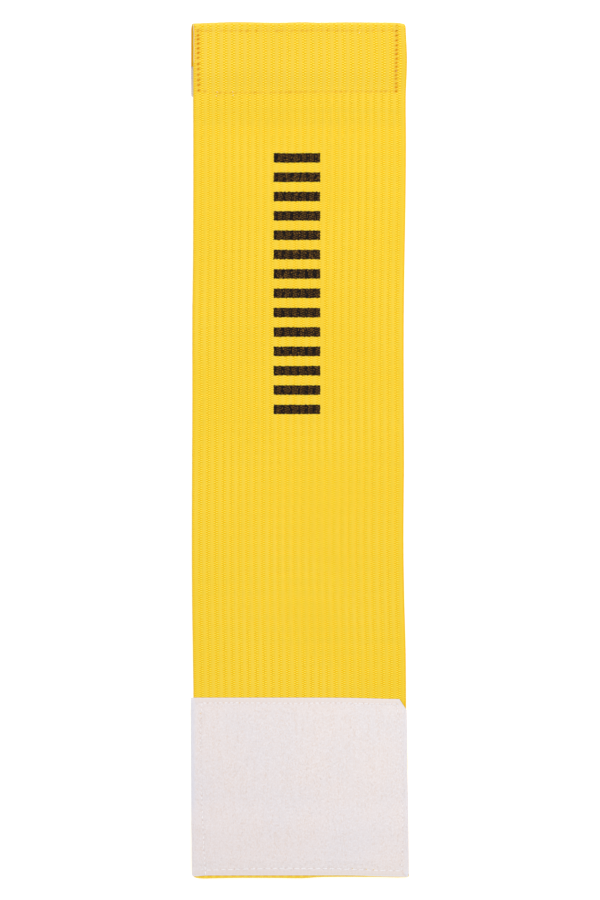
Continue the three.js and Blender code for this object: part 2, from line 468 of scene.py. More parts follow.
    def relief(self, line: StripLine, ribs: Array, s: Array) -> Array:
        """Distance of a face from the middle surface.

        The channel floor's distance, plus the rib's height over it times a bump that rises over
        one flank of each rib and falls over the other. In a fold the stretched cloth evens out
        up to half of the ribs' height.

        Args:
            line: The strip's middle line.
            ribs: Rib count from the left edge. Its fraction is the place within a rib.
            s: Length along the line.

        Returns:
            The distances.
        """
        phase, flank = ribs % 1.0, self.rib_flank
        bump = smooth((phase - self.rib_start) / flank) * smooth((self.rib_end - phase) / flank)
        fold = smooth((1 - np.abs(line.read(s)[3])) / 0.5)
        floor = self.channel_floor + self.fold_fill * fold
        return floor + (self.half - floor) * bump * (1 - 0.5 * fold)


# Seams


@dataclass(frozen=True)
class SeamSide:
    """One straight side of a seam, from its corner to the next side's."""

    corner: Pair
    pitch: float
    tension: float  # how hard its stitches pull, from 0 to 1
    stand: float = 0.0  # how much higher than the seam's other stitches they lie


@dataclass(frozen=True)
class Seam:
    """A closed line of lockstitches, clockwise from its upper left corner, with some tacks."""

    sides: tuple[SeamSide, ...]
    sway: float  # how far needle points stray from the straight line
    seed: int
    tacks: tuple[tuple[float, float, float, float], ...]
    sway_parts: Pair = (0.7, 0.45)  # its slow part and its random part
    wander: float = 9.0  # length over which the slow sway turns by one radian
    phase_step: float = 2.1  # radians by which it starts later on each side than on the last
    slip: float = 0.10  # random part of the pitch
    slant: Pair = (0.86, 0.5)  # the way in which the holes are longer
    margins: Pair = (2.0, 4.0)  # reach of the pull outside and inside the seam
    groove: Pair = (0.15, 0.6)  # its depth without tension, and what that adds
    shares: Row = (0.04, 0.12, 0.26, 0.5, 0.74, 0.88, 0.96)  # rings of a stitch
    roundness: float = 0.65  # power that rounds a stitch's arch
    taper: float = 0.25  # how much thinner a stitch is at its ends
    block: int = 20000  # about how many places are worked out at a time

    @property
    def corners(self) -> Array:
        """The sides' corners."""
        return np.array([side.corner for side in self.sides])

    @property
    def reaches(self) -> Array:
        """The ways from each corner to the next."""
        return np.roll(self.corners, -1, 0) - self.corners

    @property
    def counts(self) -> Array:
        """Number of needle points on each side: its length over the pitch, rounded."""
        pitches = np.array([side.pitch for side in self.sides])
        return np.round(np.linalg.norm(self.reaches, axis=1) / pitches).astype(int)

    def needles(self) -> Array:
        """Where the needle went in, in order round the seam.

        Each side is cut into equal steps of about the pitch. A point lies off the straight line
        by a sine of its distance along it, plus a small random part.

        Returns:
            The points, as a count by 2.
        """
        rng = np.random.default_rng(self.seed)
        places = []
        slow, quick = self.sway_parts
        rows = zip(self.sides, self.counts, self.corners, self.reaches)
        for i, (side, count, start, reach) in enumerate(rows):
            length = float(np.linalg.norm(reach))
            t = np.arange(count) / count
            off = np.array([-reach[1], reach[0]]) / length
            wave = np.sin(t * length / self.wander + i * self.phase_step) * np.sin(math.pi * t)
            stray = self.sway * (slow * wave + quick * rng.uniform(-1, 1, count))
            slip = rng.uniform(-self.slip, self.slip, count) * side.pitch * (t > 0)
            along = start + (t + slip / length)[:, None] * reach
            places.append(along + stray[:, None] * off)
        return np.concatenate(places)

    def owners(self, points: Array) -> Array:
        """Number of the side whose line each point is nearest to."""
        return line_distance(points[:, None] - self.corners[None], self.reaches).argmin(1)

    def strengths(self) -> Array:
        """How hard each stitch pulls.

        The tension of the point's side times a random part, which matters less as the tension
        comes near 1.

        Returns:
            A value from 0 to 1 for each needle point.
        """
        rng = np.random.default_rng(self.seed + 1)
        tension = np.repeat([side.tension for side in self.sides], self.counts)
        return tension * (1 - (1.15 - tension) * rng.uniform(0, 1, len(tension)))

    def pull(self, x: Array, y: Array, hole: float, line: float) -> tuple[Array, Array]:
        """How strongly the cloth is drawn in at places near the seam.

        For holes, the largest over the needle points of a bell curve of the distance, whose square
        counts about half along a slanting direction, so that each hole is an oval. For the
        thread's line, a bell curve of the distance to each stitch, times a depth that grows with
        its strength. Places beyond the margins are left at 0.

        Args:
            x: Places across the armband.
            y: Places along it.
            hole: Radius of the bell curve round a needle point.
            line: Half width of the bell curve beside a stitch.

        Returns:
            The pull of the holes and the pull of the lines, both from 0 to 1.
        """
        points, strength = self.needles(), self.strengths()
        reach = np.roll(points, -1, 0) - points
        shape = np.shape(x)
        place = np.stack([np.ravel(x), np.ravel(y)], -1)
        low, high = points.min(0), points.max(0)
        outer, inner = self.margins
        inside = np.all((place > low - outer) & (place < high + outer), -1)
        middle = np.all((place > low + inner) & (place < high - inner), -1)
        near = np.flatnonzero(inside & ~middle)
        holes, lines = np.zeros(len(place)), np.zeros(len(place))
        for block in np.array_split(near, max(1, len(near) // self.block)):
            gap = place[block, None, :] - points[None]
            beside = line_distance(gap, reach)
            oval = (gap**2).sum(-1) - 0.5 * (gap @ np.array(self.slant)) ** 2
            holes[block] = (np.exp(-oval / hole**2) * strength).max(1)
            depth = self.groove[0] + self.groove[1] * strength
            lines[block] = (np.exp(-((beside / line) ** 2)) * depth).max(1)
        return holes.reshape(shape), lines.reshape(shape)

    def stitches(self, level: Level, up: float, radius: float, rise: float, dive: float) -> Array:
        """Points of the thread that shows, one short tube for each stitch.

        A stitch runs straight from one needle point to the next, and a tack between its own two
        places. Its height over the cloth is the rise, and what its side stands out, times a
        rounded arch, less the dive at both ends.

        Args:
            level: Height of the cloth's face at places x and y.
            up: 1 for thread on an upper face, -1 for one on a lower face.
            radius: The thread's radius.
            rise: Height of the stitch's middle line over the cloth.
            dive: Depth of its ends under the cloth.

        Returns:
            Points, as stitches by rings by sides by 3.
        """
        tacks = np.array(self.tacks).reshape(-1, 4)
        points = np.concatenate([self.needles(), tacks[:, :2]])
        ends = np.concatenate([np.roll(self.needles(), -1, 0), tacks[:, 2:]])
        t = np.array(self.shares)
        plan = points[:, None] + t[None, :, None] * (ends - points)[:, None]
        centre = plan[:, len(t) // 2]
        arch = np.sin(math.pi * t) ** self.roundness
        stand = np.array([side.stand for side in self.sides])[self.owners(centre)]
        over = (rise + stand[:, None]) * arch - dive * (1 - arch)
        z = level(centre[:, 0], centre[:, 1])[:, None] + up * over
        path = np.concatenate([plan, z[..., None]], -1)
        size = radius * (1 - self.taper + self.taper * arch)
        return tubes(path, size, 6)


# A side has its corner, the pitch and the tension of its stitches, and what they stand out.
HOOK_SEAM = Seam(
    sides=(
        SeamSide((-43.2, 177.4), 1.2, 0.95),
        SeamSide((-42.0, 177.35), 2.12, 0.40),
        SeamSide((39.2, 177.4), 2.2, 0.45),
        SeamSide((40.85, 179.3), 1.6, 0.5),
        SeamSide((40.8, 177.3), 2.05, 1.0),
        SeamSide((40.8, 165.5), 1.7, 0.9),
        SeamSide((40.7, 151.9), 2.12, 0.9),
        SeamSide((38.58, 151.88), 2.12, 0.45),
        SeamSide((-38.0, 151.2), 2.4, 0.45),
        SeamSide((-42.9, 152.2), 2.26, 0.95),
        SeamSide((-43.1, 168.0), 1.88, 1.0),
    ),
    sway=0.12,
    seed=5,
    tacks=((-44.6, 177.5, -42.2, 177.5),),
)
LOOP_SEAM = Seam(
    sides=(
        SeamSide((-41.5, -107.2), 2.25, 0.85, -0.02),
        SeamSide((17.5, -107.2), 2.25, 0.85, 0.03),
        SeamSide((41.0, -107.65), 2.04, 0.65, -0.09),
        SeamSide((43.0, -126.1), 2.04, 0.6, -0.13),
        SeamSide((43.5, -138.0), 2.04, 0.65, -0.13),
        SeamSide((43.5, -168.0), 2.04, 0.7, -0.11),
        SeamSide((43.05, -178.2), 3.1, 0.8, 0.06),
        SeamSide((12.0, -177.1), 3.1, 0.8, 0.06),
        SeamSide((-12.0, -177.1), 3.1, 0.8, 0.06),
        SeamSide((-40.1, -177.85), 2.04, 0.8, -0.08),
        SeamSide((-40.9, -163.0), 2.04, 0.75, -0.09),
        SeamSide((-41.8, -144.5), 2.04, 0.65, -0.12),
        SeamSide((-42.15, -122.0), 2.04, 0.75, -0.13),
    ),
    sway=0.16,
    seed=9,
    tacks=((-42.5, -177.3, -40.4, -177.5), (-40.1, -177.9, -40.0, -180.0)),
)


@dataclass(frozen=True)
class Tuck:
    """How a seam draws a face of the strip in, and the shade painted in its hollows."""

    seam: Seam
    hole: float  # radius of a needle hole's hollow
    thread: float  # half width of the groove beside a stitch
    hole_depth: float
    thread_depth: float
    hole_dark: float
    thread_dark: float

    def read(self, x: Array, y: Array) -> tuple[Array, Array]:
        """Read it at places.

        Args:
            x: Places across.
            y: Places along.

        Returns:
            Depths in millimetres, and painted shade from 0 to 1.
        """
        hole, thread = self.seam.pull(x, y, self.hole, self.thread)
        dark = self.hole_dark * hole + self.thread_dark * thread**2
        return self.hole_depth * hole + self.thread_depth * thread, np.clip(dark, 0, 1)


# The dark values set the painted shade in the needle holes and the grooves beside stitches.
FRONT_TUCK = Tuck(
    HOOK_SEAM, hole=0.47, thread=0.34, hole_depth=0.2, thread_depth=0.12, hole_dark=1.3,
    thread_dark=0.3,
)
BACK_TUCK = Tuck(
    LOOP_SEAM, hole=0.5, thread=0.4, hole_depth=0.2, thread_depth=0.26, hole_dark=0.8,
    thread_dark=0.0,
)


# Shader building


@dataclass
class Sheet:
    """A node tree with short calls for the nodes that these finishes use."""

    tree: Tree

    def node(self, kind: str, **settings: object) -> Node:
        """Add a node.

        Args:
            kind: Its type.
            **settings: Its properties by name.

        Returns:
            The node.
        """
        made = self.tree.nodes.new(kind)
        for key, value in settings.items():
            setattr(made, key, value)
        return made

    def feed(self, socket: Socket, value: object) -> None:
        """Link a socket to another one, or set it to a value.

        Args:
            socket: The input.
            value: A socket, a number, or the parts of a place or colour.
        """
        if isinstance(value, Socket):
            self.tree.links.new(value, socket)
        elif isinstance(value, tuple) and len(value) == 3 and socket.type == "RGBA":
            socket.default_value = (*value, 1.0)
        else:
            socket.default_value = value

    def math(self, operation: str, *values: object, clamp: bool = False) -> Socket:
        """Do one step of arithmetic.

        Args:
            operation: Its name in Blender.
            *values: Numbers or sockets.
            clamp: True to keep the result between 0 and 1.

        Returns:
            The result.
        """
        made = self.node("ShaderNodeMath", operation=operation, use_clamp=clamp)
        for socket, value in zip(made.inputs, values):
            self.feed(socket, value)
        return made.outputs[0]

    def mix(self, share: object, a: object, b: object, blend: str = "MIX") -> Socket:
        """Mix two colours.

        Args:
            share: How much of the second one, from 0 to 1.
            a: The first colour.
            b: The second colour.
            blend: The blend's name in Blender.

        Returns:
            The mixed colour.
        """
        made = self.node("ShaderNodeMix", data_type="RGBA", blend_type=blend, clamp_factor=True)
        for i, value in ((0, share), (6, a), (7, b)):
            self.feed(made.inputs[i], value)
        return made.outputs[2]

    def ramp(
        self, value: object, low: float, high: float, to: Pair = (0, 1)
    ) -> Socket:
        """Ease a value's range onto another one.

        Args:
            value: The value, clamped to its range.
            low: Start of its range.
            high: End of its range.
            to: Results at the start and at the end.

        Returns:
            The eased value.
        """
        made = self.node("ShaderNodeMapRange", interpolation_type="SMOOTHSTEP", clamp=True)
        for socket, number in zip(made.inputs, (value, low, high, *to)):
            self.feed(socket, number)
        return made.outputs[0]

    def within(self, distance: object, half: float, soft: float) -> Socket:
        """Tell where a distance is under half a width: 1 inside and 0 outside, softly."""
        return self.ramp(distance, half - soft, half + soft, (1, 0))

    def wave(self, value: object, pitch: float) -> Socket:
        """Make a sine, from -1 to 1, that repeats at a pitch."""
        return self.math("SINE", self.math("MULTIPLY", value, 2 * math.pi / pitch))

    def noise(self, vector: object, scale: object, detail: float = 2.0) -> Socket:
        """Make noise from 0 to 1.

        Args:
            vector: The place.
            scale: How fine it is, in waves to a metre.
            detail: Its octaves.

        Returns:
            The noise.
        """
        made = self.node("ShaderNodeTexNoise")
        for key, value in (("Vector", vector), ("Scale", scale), ("Detail", detail)):
            self.feed(made.inputs[key], value)
        return made.outputs["Fac"]

    def stretched(self, vector: object, scale: tuple[float, float, float]) -> Socket:
        """Scale the axes of a place one by one.

        Args:
            vector: The place.
            scale: The scale of each axis.

        Returns:
            The scaled place.
        """
        made = self.node("ShaderNodeMapping")
        self.feed(made.inputs["Vector"], vector)
        self.feed(made.inputs["Scale"], scale)
        return made.outputs[0]

    def split(self, vector: object) -> tuple[Socket, ...]:
        """Take a place apart.

        Args:
            vector: The place.

        Returns:
            Its three parts.
        """
        made = self.node("ShaderNodeSeparateXYZ")
        self.feed(made.inputs[0], vector)
        return tuple(made.outputs)

    def mark(self, name: str) -> Socket:
        """A value that the mesh carries on its points."""
        return self.node("ShaderNodeAttribute", attribute_name=name).outputs["Fac"]

    def uv(self, name: str) -> Socket:
        """A UV map of the mesh."""
        return self.node("ShaderNodeUVMap", uv_map=name).outputs[0]

    def spot(self) -> Socket:
        """The place on the object, in metres."""
        return self.node("ShaderNodeTexCoord").outputs["Object"]

    def group(self, tree: Tree, **values: object) -> Socket:
        """Place a shared effect.

        Args:
            tree: The effect's node group.
            **values: Its inputs by name.

        Returns:
            Its result.
        """
        made = self.node("ShaderNodeGroup", node_tree=tree)
        for key, value in values.items():
            self.feed(made.inputs[key], value)
        return made.outputs[0]

    def dress(
        self, shader: Node, colour: Socket, roughness: object, height: Socket, depth: float,
        strength: float,
    ) -> None:
        """Give a shader its colour, its roughness and a bump.

        Args:
            shader: The shader.
            colour: Its base colour.
            roughness: Its roughness, as a number or a socket.
            height: The bump's height, between 0 and 1.
            depth: What a height of 1 stands for, in metres.
            strength: The bump's strength.
        """
        bump = self.node("ShaderNodeBump")
        bump.inputs["Strength"].default_value = strength
        bump.inputs["Distance"].default_value = depth
        self.feed(bump.inputs["Height"], height)
        self.feed(shader.inputs["Base Color"], colour)
        self.feed(shader.inputs["Roughness"], roughness)
        self.feed(shader.inputs["Normal"], bump.outputs[0])


def start_material(name: str, specular: float, sheen: float) -> tuple[Sheet, Node, Material]:
    """Start a material with an even sheen.

    Args:
        name: The material's name.
        specular: Level of its plain reflection.
        sheen: Weight of its sheen.

    Returns:
        The sheet to build on, the shader node and the material.
    """
    material = bpy.data.materials.new(name)
    material.use_nodes = True
    shader = material.node_tree.nodes["Principled BSDF"]
    shader.inputs["Specular IOR Level"].default_value = specular
    shader.inputs["Sheen Weight"].default_value = sheen
    shader.inputs["Sheen Roughness"].default_value = 0.6
    return Sheet(material.node_tree), shader, material


# Effects that several finishes share


FLOAT, VECTOR, COLOUR = "NodeSocketFloat", "NodeSocketVector", "NodeSocketColor"


def effect(name: str, inputs: dict[str, str], output: str) -> tuple[Sheet, Node, Node]:
    """Start a shared effect: a node group with named sockets.

    Args:
        name: The group's name.
        inputs: Socket types by name.
        output: Type of its one output, Result.

    Returns:
        The sheet to build on, the group's input node and its output node.
    """
    tree = bpy.data.node_groups.new(name, "ShaderNodeTree")
    for key, kind in inputs.items():
        tree.interface.new_socket(key, in_out="INPUT", socket_type=kind)
    tree.interface.new_socket("Result", in_out="OUTPUT", socket_type=output)
    sheet = Sheet(tree)
    return sheet, sheet.node("NodeGroupInput"), sheet.node("NodeGroupOutput")


@dataclass(frozen=True)
class InkLadder:
    """A printed ladder of plain bars, with its sizes in metres."""

    middle_x: float = -0.0013
    middle_y: float = 0.0705
    width: float = 0.0198
    bar: float = 0.0041
    pitch: float = 0.0082
    count: int = 14
    softness: float = 0.00012
    grain: float = 1500.0  # how fine the noise of its ragged edges is

    @property
    def height(self) -> float:
        """From the first bar's outer edge to the last one's."""
        return self.pitch * (self.count - 1) + self.bar

    @property
    def first(self) -> float:
        """Middle of the lowest bar."""
        return self.middle_y - self.height / 2 + self.bar / 2

    def build(self) -> Tree:
        """Build its effect: ink from 0 to 1, ragged at the edges.

        The distance to the nearest bar's middle is less than half a bar, and the place is inside
        the block. A little noise moves the place first.

        Returns:
            The node group.
        """
        sheet, given, result = effect("ink_ladder", {"Place": VECTOR, "Ragged": FLOAT}, FLOAT)
        place = given.outputs["Place"]
        rough = sheet.math("SUBTRACT", sheet.noise(place, self.grain), 0.5)
        shake = sheet.math("MULTIPLY", rough, given.outputs["Ragged"])
        x, y = (sheet.math("ADD", part, shake) for part in sheet.split(place)[:2])
        step = sheet.math("PINGPONG", sheet.math("SUBTRACT", y, self.first), self.pitch / 2)
        beside = sheet.math("ABSOLUTE", sheet.math("SUBTRACT", x, self.middle_x))
        along = sheet.math("ABSOLUTE", sheet.math("SUBTRACT", y, self.middle_y))
        bar = sheet.within(step, self.bar / 2, self.softness)
        wide = sheet.within(beside, self.width / 2, self.softness)
        tall = sheet.within(along, self.height / 2, self.softness)
        inside = sheet.math("MULTIPLY", wide, tall)
        sheet.feed(result.inputs["Result"], sheet.math("MULTIPLY", inside, bar))
        return sheet.tree


@dataclass(frozen=True)
class Effects:
    """The node groups of the shared effects."""

    fibres: Tree
    clouds: Tree
    ink: Tree

    @classmethod
    def build(cls) -> "Effects":
        """Build each group once."""
        return cls(cls._fibres(), cls._clouds(), InkLadder().build())

    @staticmethod
    def _fibres() -> Tree:
        """Build fine fibres: the mean of two noises, one of them three times as fine.

        Returns:
            The node group.
        """
        sheet, given, result = effect("fibre_grain", {"Place": VECTOR, "Fineness": FLOAT}, FLOAT)
        place, fineness = given.outputs["Place"], given.outputs["Fineness"]
        wide = sheet.noise(place, fineness, 1.0)
        fine = sheet.noise(place, sheet.math("MULTIPLY", fineness, 3.0), 1.0)
        mean = sheet.math("MULTIPLY", sheet.math("ADD", wide, fine), 0.5)
        sheet.feed(result.inputs["Result"], mean)
        return sheet.tree

    @staticmethod
    def _clouds() -> Tree:
        """Build slow changes of tone: two colours mixed by a soft noise, its contrast raised.

        Returns:
            The node group.
        """
        kinds = {"Place": VECTOR, "Fineness": FLOAT, "One": COLOUR, "Other": COLOUR}
        sheet, given, result = effect("cloudy_tone", kinds, COLOUR)
        soft = sheet.noise(given.outputs["Place"], given.outputs["Fineness"], 3.0)
        share = sheet.ramp(soft, 0.3, 0.7)
        mixed = sheet.mix(share, given.outputs["One"], given.outputs["Other"])
        sheet.feed(result.inputs["Result"], mixed)
        return sheet.tree


# Finishes


@dataclass(frozen=True)
class ElasticFinish:
    """The yellow elastic, for its ground cloth and for the picks that lie in its channels."""

    rib: Colour = (0.778, 0.563, 0.058)
    rib_deep: Colour = (0.763, 0.538, 0.042)
    # Painted highlight: the lighter tone of the fold turns, laid on by the rim mark.
    fold: Colour = (0.795, 0.595, 0.085)
    pick: Colour = (0.830, 0.628, 0.000)
    # Painted highlight: the crest's lighter, whiter tone on top of each grain.
    crest: Colour = (0.840, 0.670, 0.088)
    # Painted shade: the channel floor's darker tone, in the channels and between the picks.
    floor: Colour = (0.785, 0.445, 0.000)
    # Painted shade: the pit's tone in needle holes, beside stitches and on the folded flap's edge.
    pit: Colour = (0.600, 0.205, 0.000)
    # Painted edge shade: the darker, greyer tone at the woven edges.
    selvage: Colour = (0.690, 0.505, 0.075)
    ink: Colour = (0.010, 0.008, 0.008)
    ink_thin: Colour = (0.220, 0.106, 0.016)
    hem: Colour = (0.974, 0.980, 1.150)
    hem_y: Pair = (0.149, 0.153)  # where the hem's tone sets in
    rib_rise: Pair = (0.29, 0.36)  # a rib's flanks, as shares of the rib pitch
    rib_fall: Pair = (0.74, 0.81)
    fibre_fineness: float = 4200.0
    cloud_fineness: float = 26.0
    ink_fineness: float = 2100.0
    ragged: float = 0.0009

    def _finish(self, effects: Effects, name: str, ground: bool) -> Material:
        """Build one of the two materials.

        The ground is the channel floor's tone in the channels and the ribs' tone on the ribs,
        where a rounded yarn crosses at each pick; the floor's darker tone is painted shade, in the
        channels and between the yarn crossings. The fold turns are a lighter tone, a painted
        highlight, and the woven edges are darker and greyer, painted edge shade. The picks go
        from the floor's tone at their foot, painted shade, to their own at the side and the
        crest's on top, a painted highlight. Both are cooler in the sewn hem, and darken to the
        pit's tone by the mesh's pit mark, painted shade in the needle holes, beside the stitches
        and on the folded flap's edge, and to ink by the ladder on the front side.

        Args:
            effects: The shared effects.
            name: The material's name.
            ground: True for the ground cloth, False for the picks.

        Returns:
            The material.
        """
        sheet, shader, material = start_material(name, specular=0.02, sheen=0.0)
        spot = sheet.spot()
        y = sheet.split(spot)[1]
        ribs, picks, _ = sheet.split(sheet.uv("Weave"))
        along_yarn = sheet.stretched(spot, (0.25, 1, 1))
        fibres = sheet.group(effects.fibres, Place=along_yarn, Fineness=self.fibre_fineness)
        tones = {"One": self.rib, "Other": self.rib_deep}
        tone = sheet.group(effects.clouds, Place=spot, Fineness=self.cloud_fineness, **tones)
        bare = sheet.ramp(sheet.noise(spot, self.ink_fineness, 1.0), 0.60, 0.70)
        height = fibres
        if ground:
            phase, rim = sheet.math("FRACT", ribs), sheet.mark("rim")
            rising = sheet.ramp(phase, *self.rib_rise)
            falling = sheet.ramp(phase, *self.rib_fall, (1, 0))
            on_rib = sheet.math("MAXIMUM", sheet.math("MULTIPLY", rising, falling), rim)
            yarn = sheet.math("POWER", sheet.math("ABSOLUTE", sheet.wave(picks, 2.0)), 0.6)
            # The floor's tone is painted shade: between the yarn crossings here, and in the
            # channels below.
            tone = sheet.mix(sheet.ramp(yarn, 0.0, 0.9, (0.42, 0.0)), tone, self.floor)
            # In the fold turns the rib tone lies all across, with the fold's painted highlight.
            tone = sheet.mix(on_rib, self.floor, sheet.mix(rim, tone, self.fold))
            # Painted edge shade at the woven edges, by the selvage mark.
            tone = sheet.mix(sheet.mark("selvage"), tone, self.selvage)
            height = sheet.math("ADD", yarn, sheet.math("MULTIPLY", fibres, 0.5))
            bare = sheet.math("MAXIMUM", bare, sheet.math("SUBTRACT", 0.55, on_rib, clamp=True))
        else:
            # By the crown mark: the floor's painted shade at a grain's foot, the crest's painted
            # highlight on top.
            crown = sheet.mark("crown")
            tone = sheet.mix(crown, self.floor, sheet.mix(0.85, tone, self.pick))
            tone = sheet.mix(sheet.ramp(crown, 0.78, 0.94), tone, self.crest)
        tone = sheet.mix(sheet.ramp(fibres, 0.35, 0.7, (0.0, 0.14)), tone, self.floor)
        in_hem = sheet.ramp(y, *self.hem_y)
        tone = sheet.mix(in_hem, tone, self.hem, "MULTIPLY")
        # The pit mark paints shade in needle holes, beside stitches and on the flap's edge.
        tone = sheet.mix(sheet.mark("pit"), tone, self.pit)
        ladder = sheet.group(effects.ink, Place=spot, Ragged=self.ragged)
        ladder = sheet.math("MULTIPLY", ladder, sheet.mark("front"))
        tone = sheet.mix(ladder, tone, sheet.mix(bare, self.ink, self.ink_thin))
        rough = sheet.ramp(fibres, 0.2, 0.8, (0.66, 0.84))
        sheet.dress(shader, tone, rough, height, depth=0.00008, strength=0.7)
        return material

    def ground_material(self, effects: Effects) -> Material:
        """The ground cloth's material."""
        return self._finish(effects, "elastic_ground", True)

    def pick_material(self, effects: Effects) -> Material:
        """The material of the picks in the channels."""
        return self._finish(effects, "elastic_picks", False)


@dataclass(frozen=True)
class LoopFinish:
    """The brushed white loop fastener."""

    pink: Colour = (0.718, 0.655, 0.643)
    grey: Colour = (0.695, 0.652, 0.660)
    cream: Colour = (0.709, 0.662, 0.658)
    bead: Colour = (0.710, 0.672, 0.705)
    cut: Colour = (0.661, 0.650, 0.696)
    tan: Colour = (0.660, 0.500, 0.390)
    white: Colour = (0.790, 0.770, 0.790)
    shadow: Colour = (0.600, 0.440, 0.370)
    painted_shade: Colour = (0.962, 0.960, 0.970)
    line_pitch: float = 0.0006
    fibre_fineness: float = 2200.0
    cloud_fineness: float = 45.0
    wale_fineness: float = 800.0
    speck_fineness: float = 2300.0
    bright_fineness: float = 1600.0
    low_y: Pair = (-0.178, -0.110)  # places between which its painted shade changes
    edge_y: Pair = (-0.1795, -0.1700)
    top_y: Pair = (-0.114, -0.107)
    left_x: Pair = (-0.060, 0.046)

    def material(self, effects: Effects) -> Material:
        """Build it.

        The pile mixes a pinkish and a greyish white by a fine and a slow noise, with tan specks in
        wales and bright fibres. The woven borders are cream with fine lines across them and a
        bright cord at their outer edge, and the cut sides are a bluish white. Painted shade makes
        the patch a little darker towards the lower end, near the upper edge and towards the left.
        The pit mark paints shade in the needle holes and a shadow along a crease.

        Args:
            effects: The shared effects.

        Returns:
            The material.
        """
        sheet, shader, material = start_material("loop_pile", specular=0.25, sheen=0.25)
        spot = sheet.spot()
        x, y, _ = sheet.split(spot)
        nap = sheet.stretched(spot, (1, 0.45, 1))
        fibres = sheet.group(effects.fibres, Place=nap, Fineness=self.fibre_fineness)
        tones = {"One": self.pink, "Other": self.grey}
        tone = sheet.group(effects.clouds, Place=spot, Fineness=self.cloud_fineness, **tones)
        wale = sheet.noise(sheet.stretched(spot, (1, 0.05, 1)), self.wale_fineness)
        wale = sheet.ramp(wale, 0.35, 0.65, (0.25, 1.0))
        specks = sheet.ramp(sheet.noise(nap, self.speck_fineness, 1.0), 0.44, 0.66, (0.0, 0.36))
        tone = sheet.mix(sheet.math("MULTIPLY", specks, wale), tone, self.tan)
        bright = sheet.noise(sheet.stretched(spot, (1, 0.8, 3)), self.bright_fineness, 1.0)
        bright = sheet.math("MULTIPLY", sheet.ramp(bright, 0.48, 0.68), 0.35)
        tone = sheet.mix(bright, tone, self.white)
        lines = sheet.ramp(sheet.wave(x, self.line_pitch), -1.0, 1.0, (0.0, 0.42))
        tone = sheet.mix(sheet.mark("border"), tone, sheet.mix(lines, self.cream, self.tan))
        tone = sheet.mix(sheet.mark("cut"), tone, self.cut)
        tone = sheet.mix(sheet.mark("bead"), tone, self.bead)
        # Painted shade: darker towards the lower end, near the upper edge and towards the left.
        lower = sheet.ramp(y, *self.low_y, (1, 0))
        lower = sheet.math("MULTIPLY", lower, sheet.ramp(y, *self.edge_y, (0.05, 1)))
        painted_shade_share = sheet.math("MAXIMUM", lower, sheet.ramp(y, *self.top_y, (0, 0.4)))
        for share in (painted_shade_share, sheet.ramp(x, *self.left_x, (0.95, 0))):
            tone = sheet.mix(share, tone, self.painted_shade, "MULTIPLY")
        tone = sheet.mix(sheet.mark("pit"), tone, self.shadow)
        rough = sheet.ramp(fibres, 0.2, 0.8, (0.85, 0.98))
        sheet.dress(shader, tone, rough, fibres, depth=0.00004, strength=0.5)
        return material


@dataclass(frozen=True)
class HookFinish:
    """The white hook tape: a corded woven backing with stiff nylon hooks."""

    light: Colour = (0.730, 0.690, 0.735)
    dark: Colour = (0.600, 0.560, 0.610)
    cord_pitch: float = 0.0009
    fibre_fineness: float = 1800.0

    def _finish(self, effects: Effects, name: str, roughness: float, cords: bool) -> Material:
        """Build one of the two materials: light on its heights and dark between them.

        Args:
            effects: The shared effects.
            name: The material's name.
            roughness: Its roughness.
            cords: True for the backing, whose cords run along X.

        Returns:
            The material.
        """
        sheet, shader, material = start_material(name, specular=0.25, sheen=0.05)
        spot = sheet.spot()
        along_cords = sheet.stretched(spot, (0.3, 1, 1))
        height = sheet.group(effects.fibres, Place=along_cords, Fineness=self.fibre_fineness)
        if cords:
            wave = sheet.wave(sheet.split(spot)[1], self.cord_pitch)
            height = sheet.math("ADD", sheet.ramp(wave, -1, 1, (0, 0.6)), height)
        # Darker where the height is low: painted shade between the cords, and fibre grain.
        tone = sheet.mix(sheet.ramp(height, 0.3, 1.1, (0.6, 0.0)), self.light, self.dark)
        sheet.dress(shader, tone, roughness, height, depth=0.00008, strength=0.7)
        return material

    def tape_material(self, effects: Effects) -> Material:
        """The backing's material."""
        return self._finish(effects, "hook_backing", 0.7, True)

    def hook_material(self, effects: Effects) -> Material:
        """The hooks' material."""
        return self._finish(effects, "hook_nylon", 0.42, False)


@dataclass(frozen=True)
class ThreadFinish:
    """A twisted sewing thread."""

    name: str
    light: Colour
    dark: Colour
    roughness: float = 0.55
    strand_pitch: float = 0.0005
    fibre_fineness: float = 3000.0

    def material(self, effects: Effects) -> Material:
        """Build it: slanting strands across the thread, over fine fibres.

        Args:
            effects: The shared effects.

        Returns:
            The material.
        """
        sheet, shader, material = start_material(self.name, specular=0.25, sheen=0.1)
        spot = sheet.spot()
        x, y, _ = sheet.split(spot)
        fibres = sheet.group(effects.fibres, Place=spot, Fineness=self.fibre_fineness)
        strands = sheet.ramp(sheet.wave(sheet.math("ADD", x, y), self.strand_pitch), -1, 1)
        height = sheet.math("MULTIPLY", sheet.math("ADD", strands, fibres), 0.5)
        # Darker where the height is low: painted shade between the strands, and fibre grain.
        tone = sheet.mix(sheet.ramp(height, 0.2, 0.6, (0.5, 0.0)), self.light, self.dark)
        sheet.dress(shader, tone, self.roughness, height, depth=0.00006, strength=0.6)
        return material


YELLOW_THREAD = ThreadFinish("yellow_thread", light=(0.80, 0.51, 0.020), dark=(0.66, 0.36, 0.0))
WHITE_THREAD = ThreadFinish("white_thread", light=(0.84, 0.83, 0.85), dark=(0.66, 0.63, 0.64))


# The elastic band


@dataclass(frozen=True)
class PickColumn:
    """One column of picks in each channel, and the size of its grains."""

    phase: float  # its place within a rib's width
    offset: float  # its pick count's fraction
    width: float  # of a grain, in rib widths
    share: float  # length of a grain, in picks
    rise: float


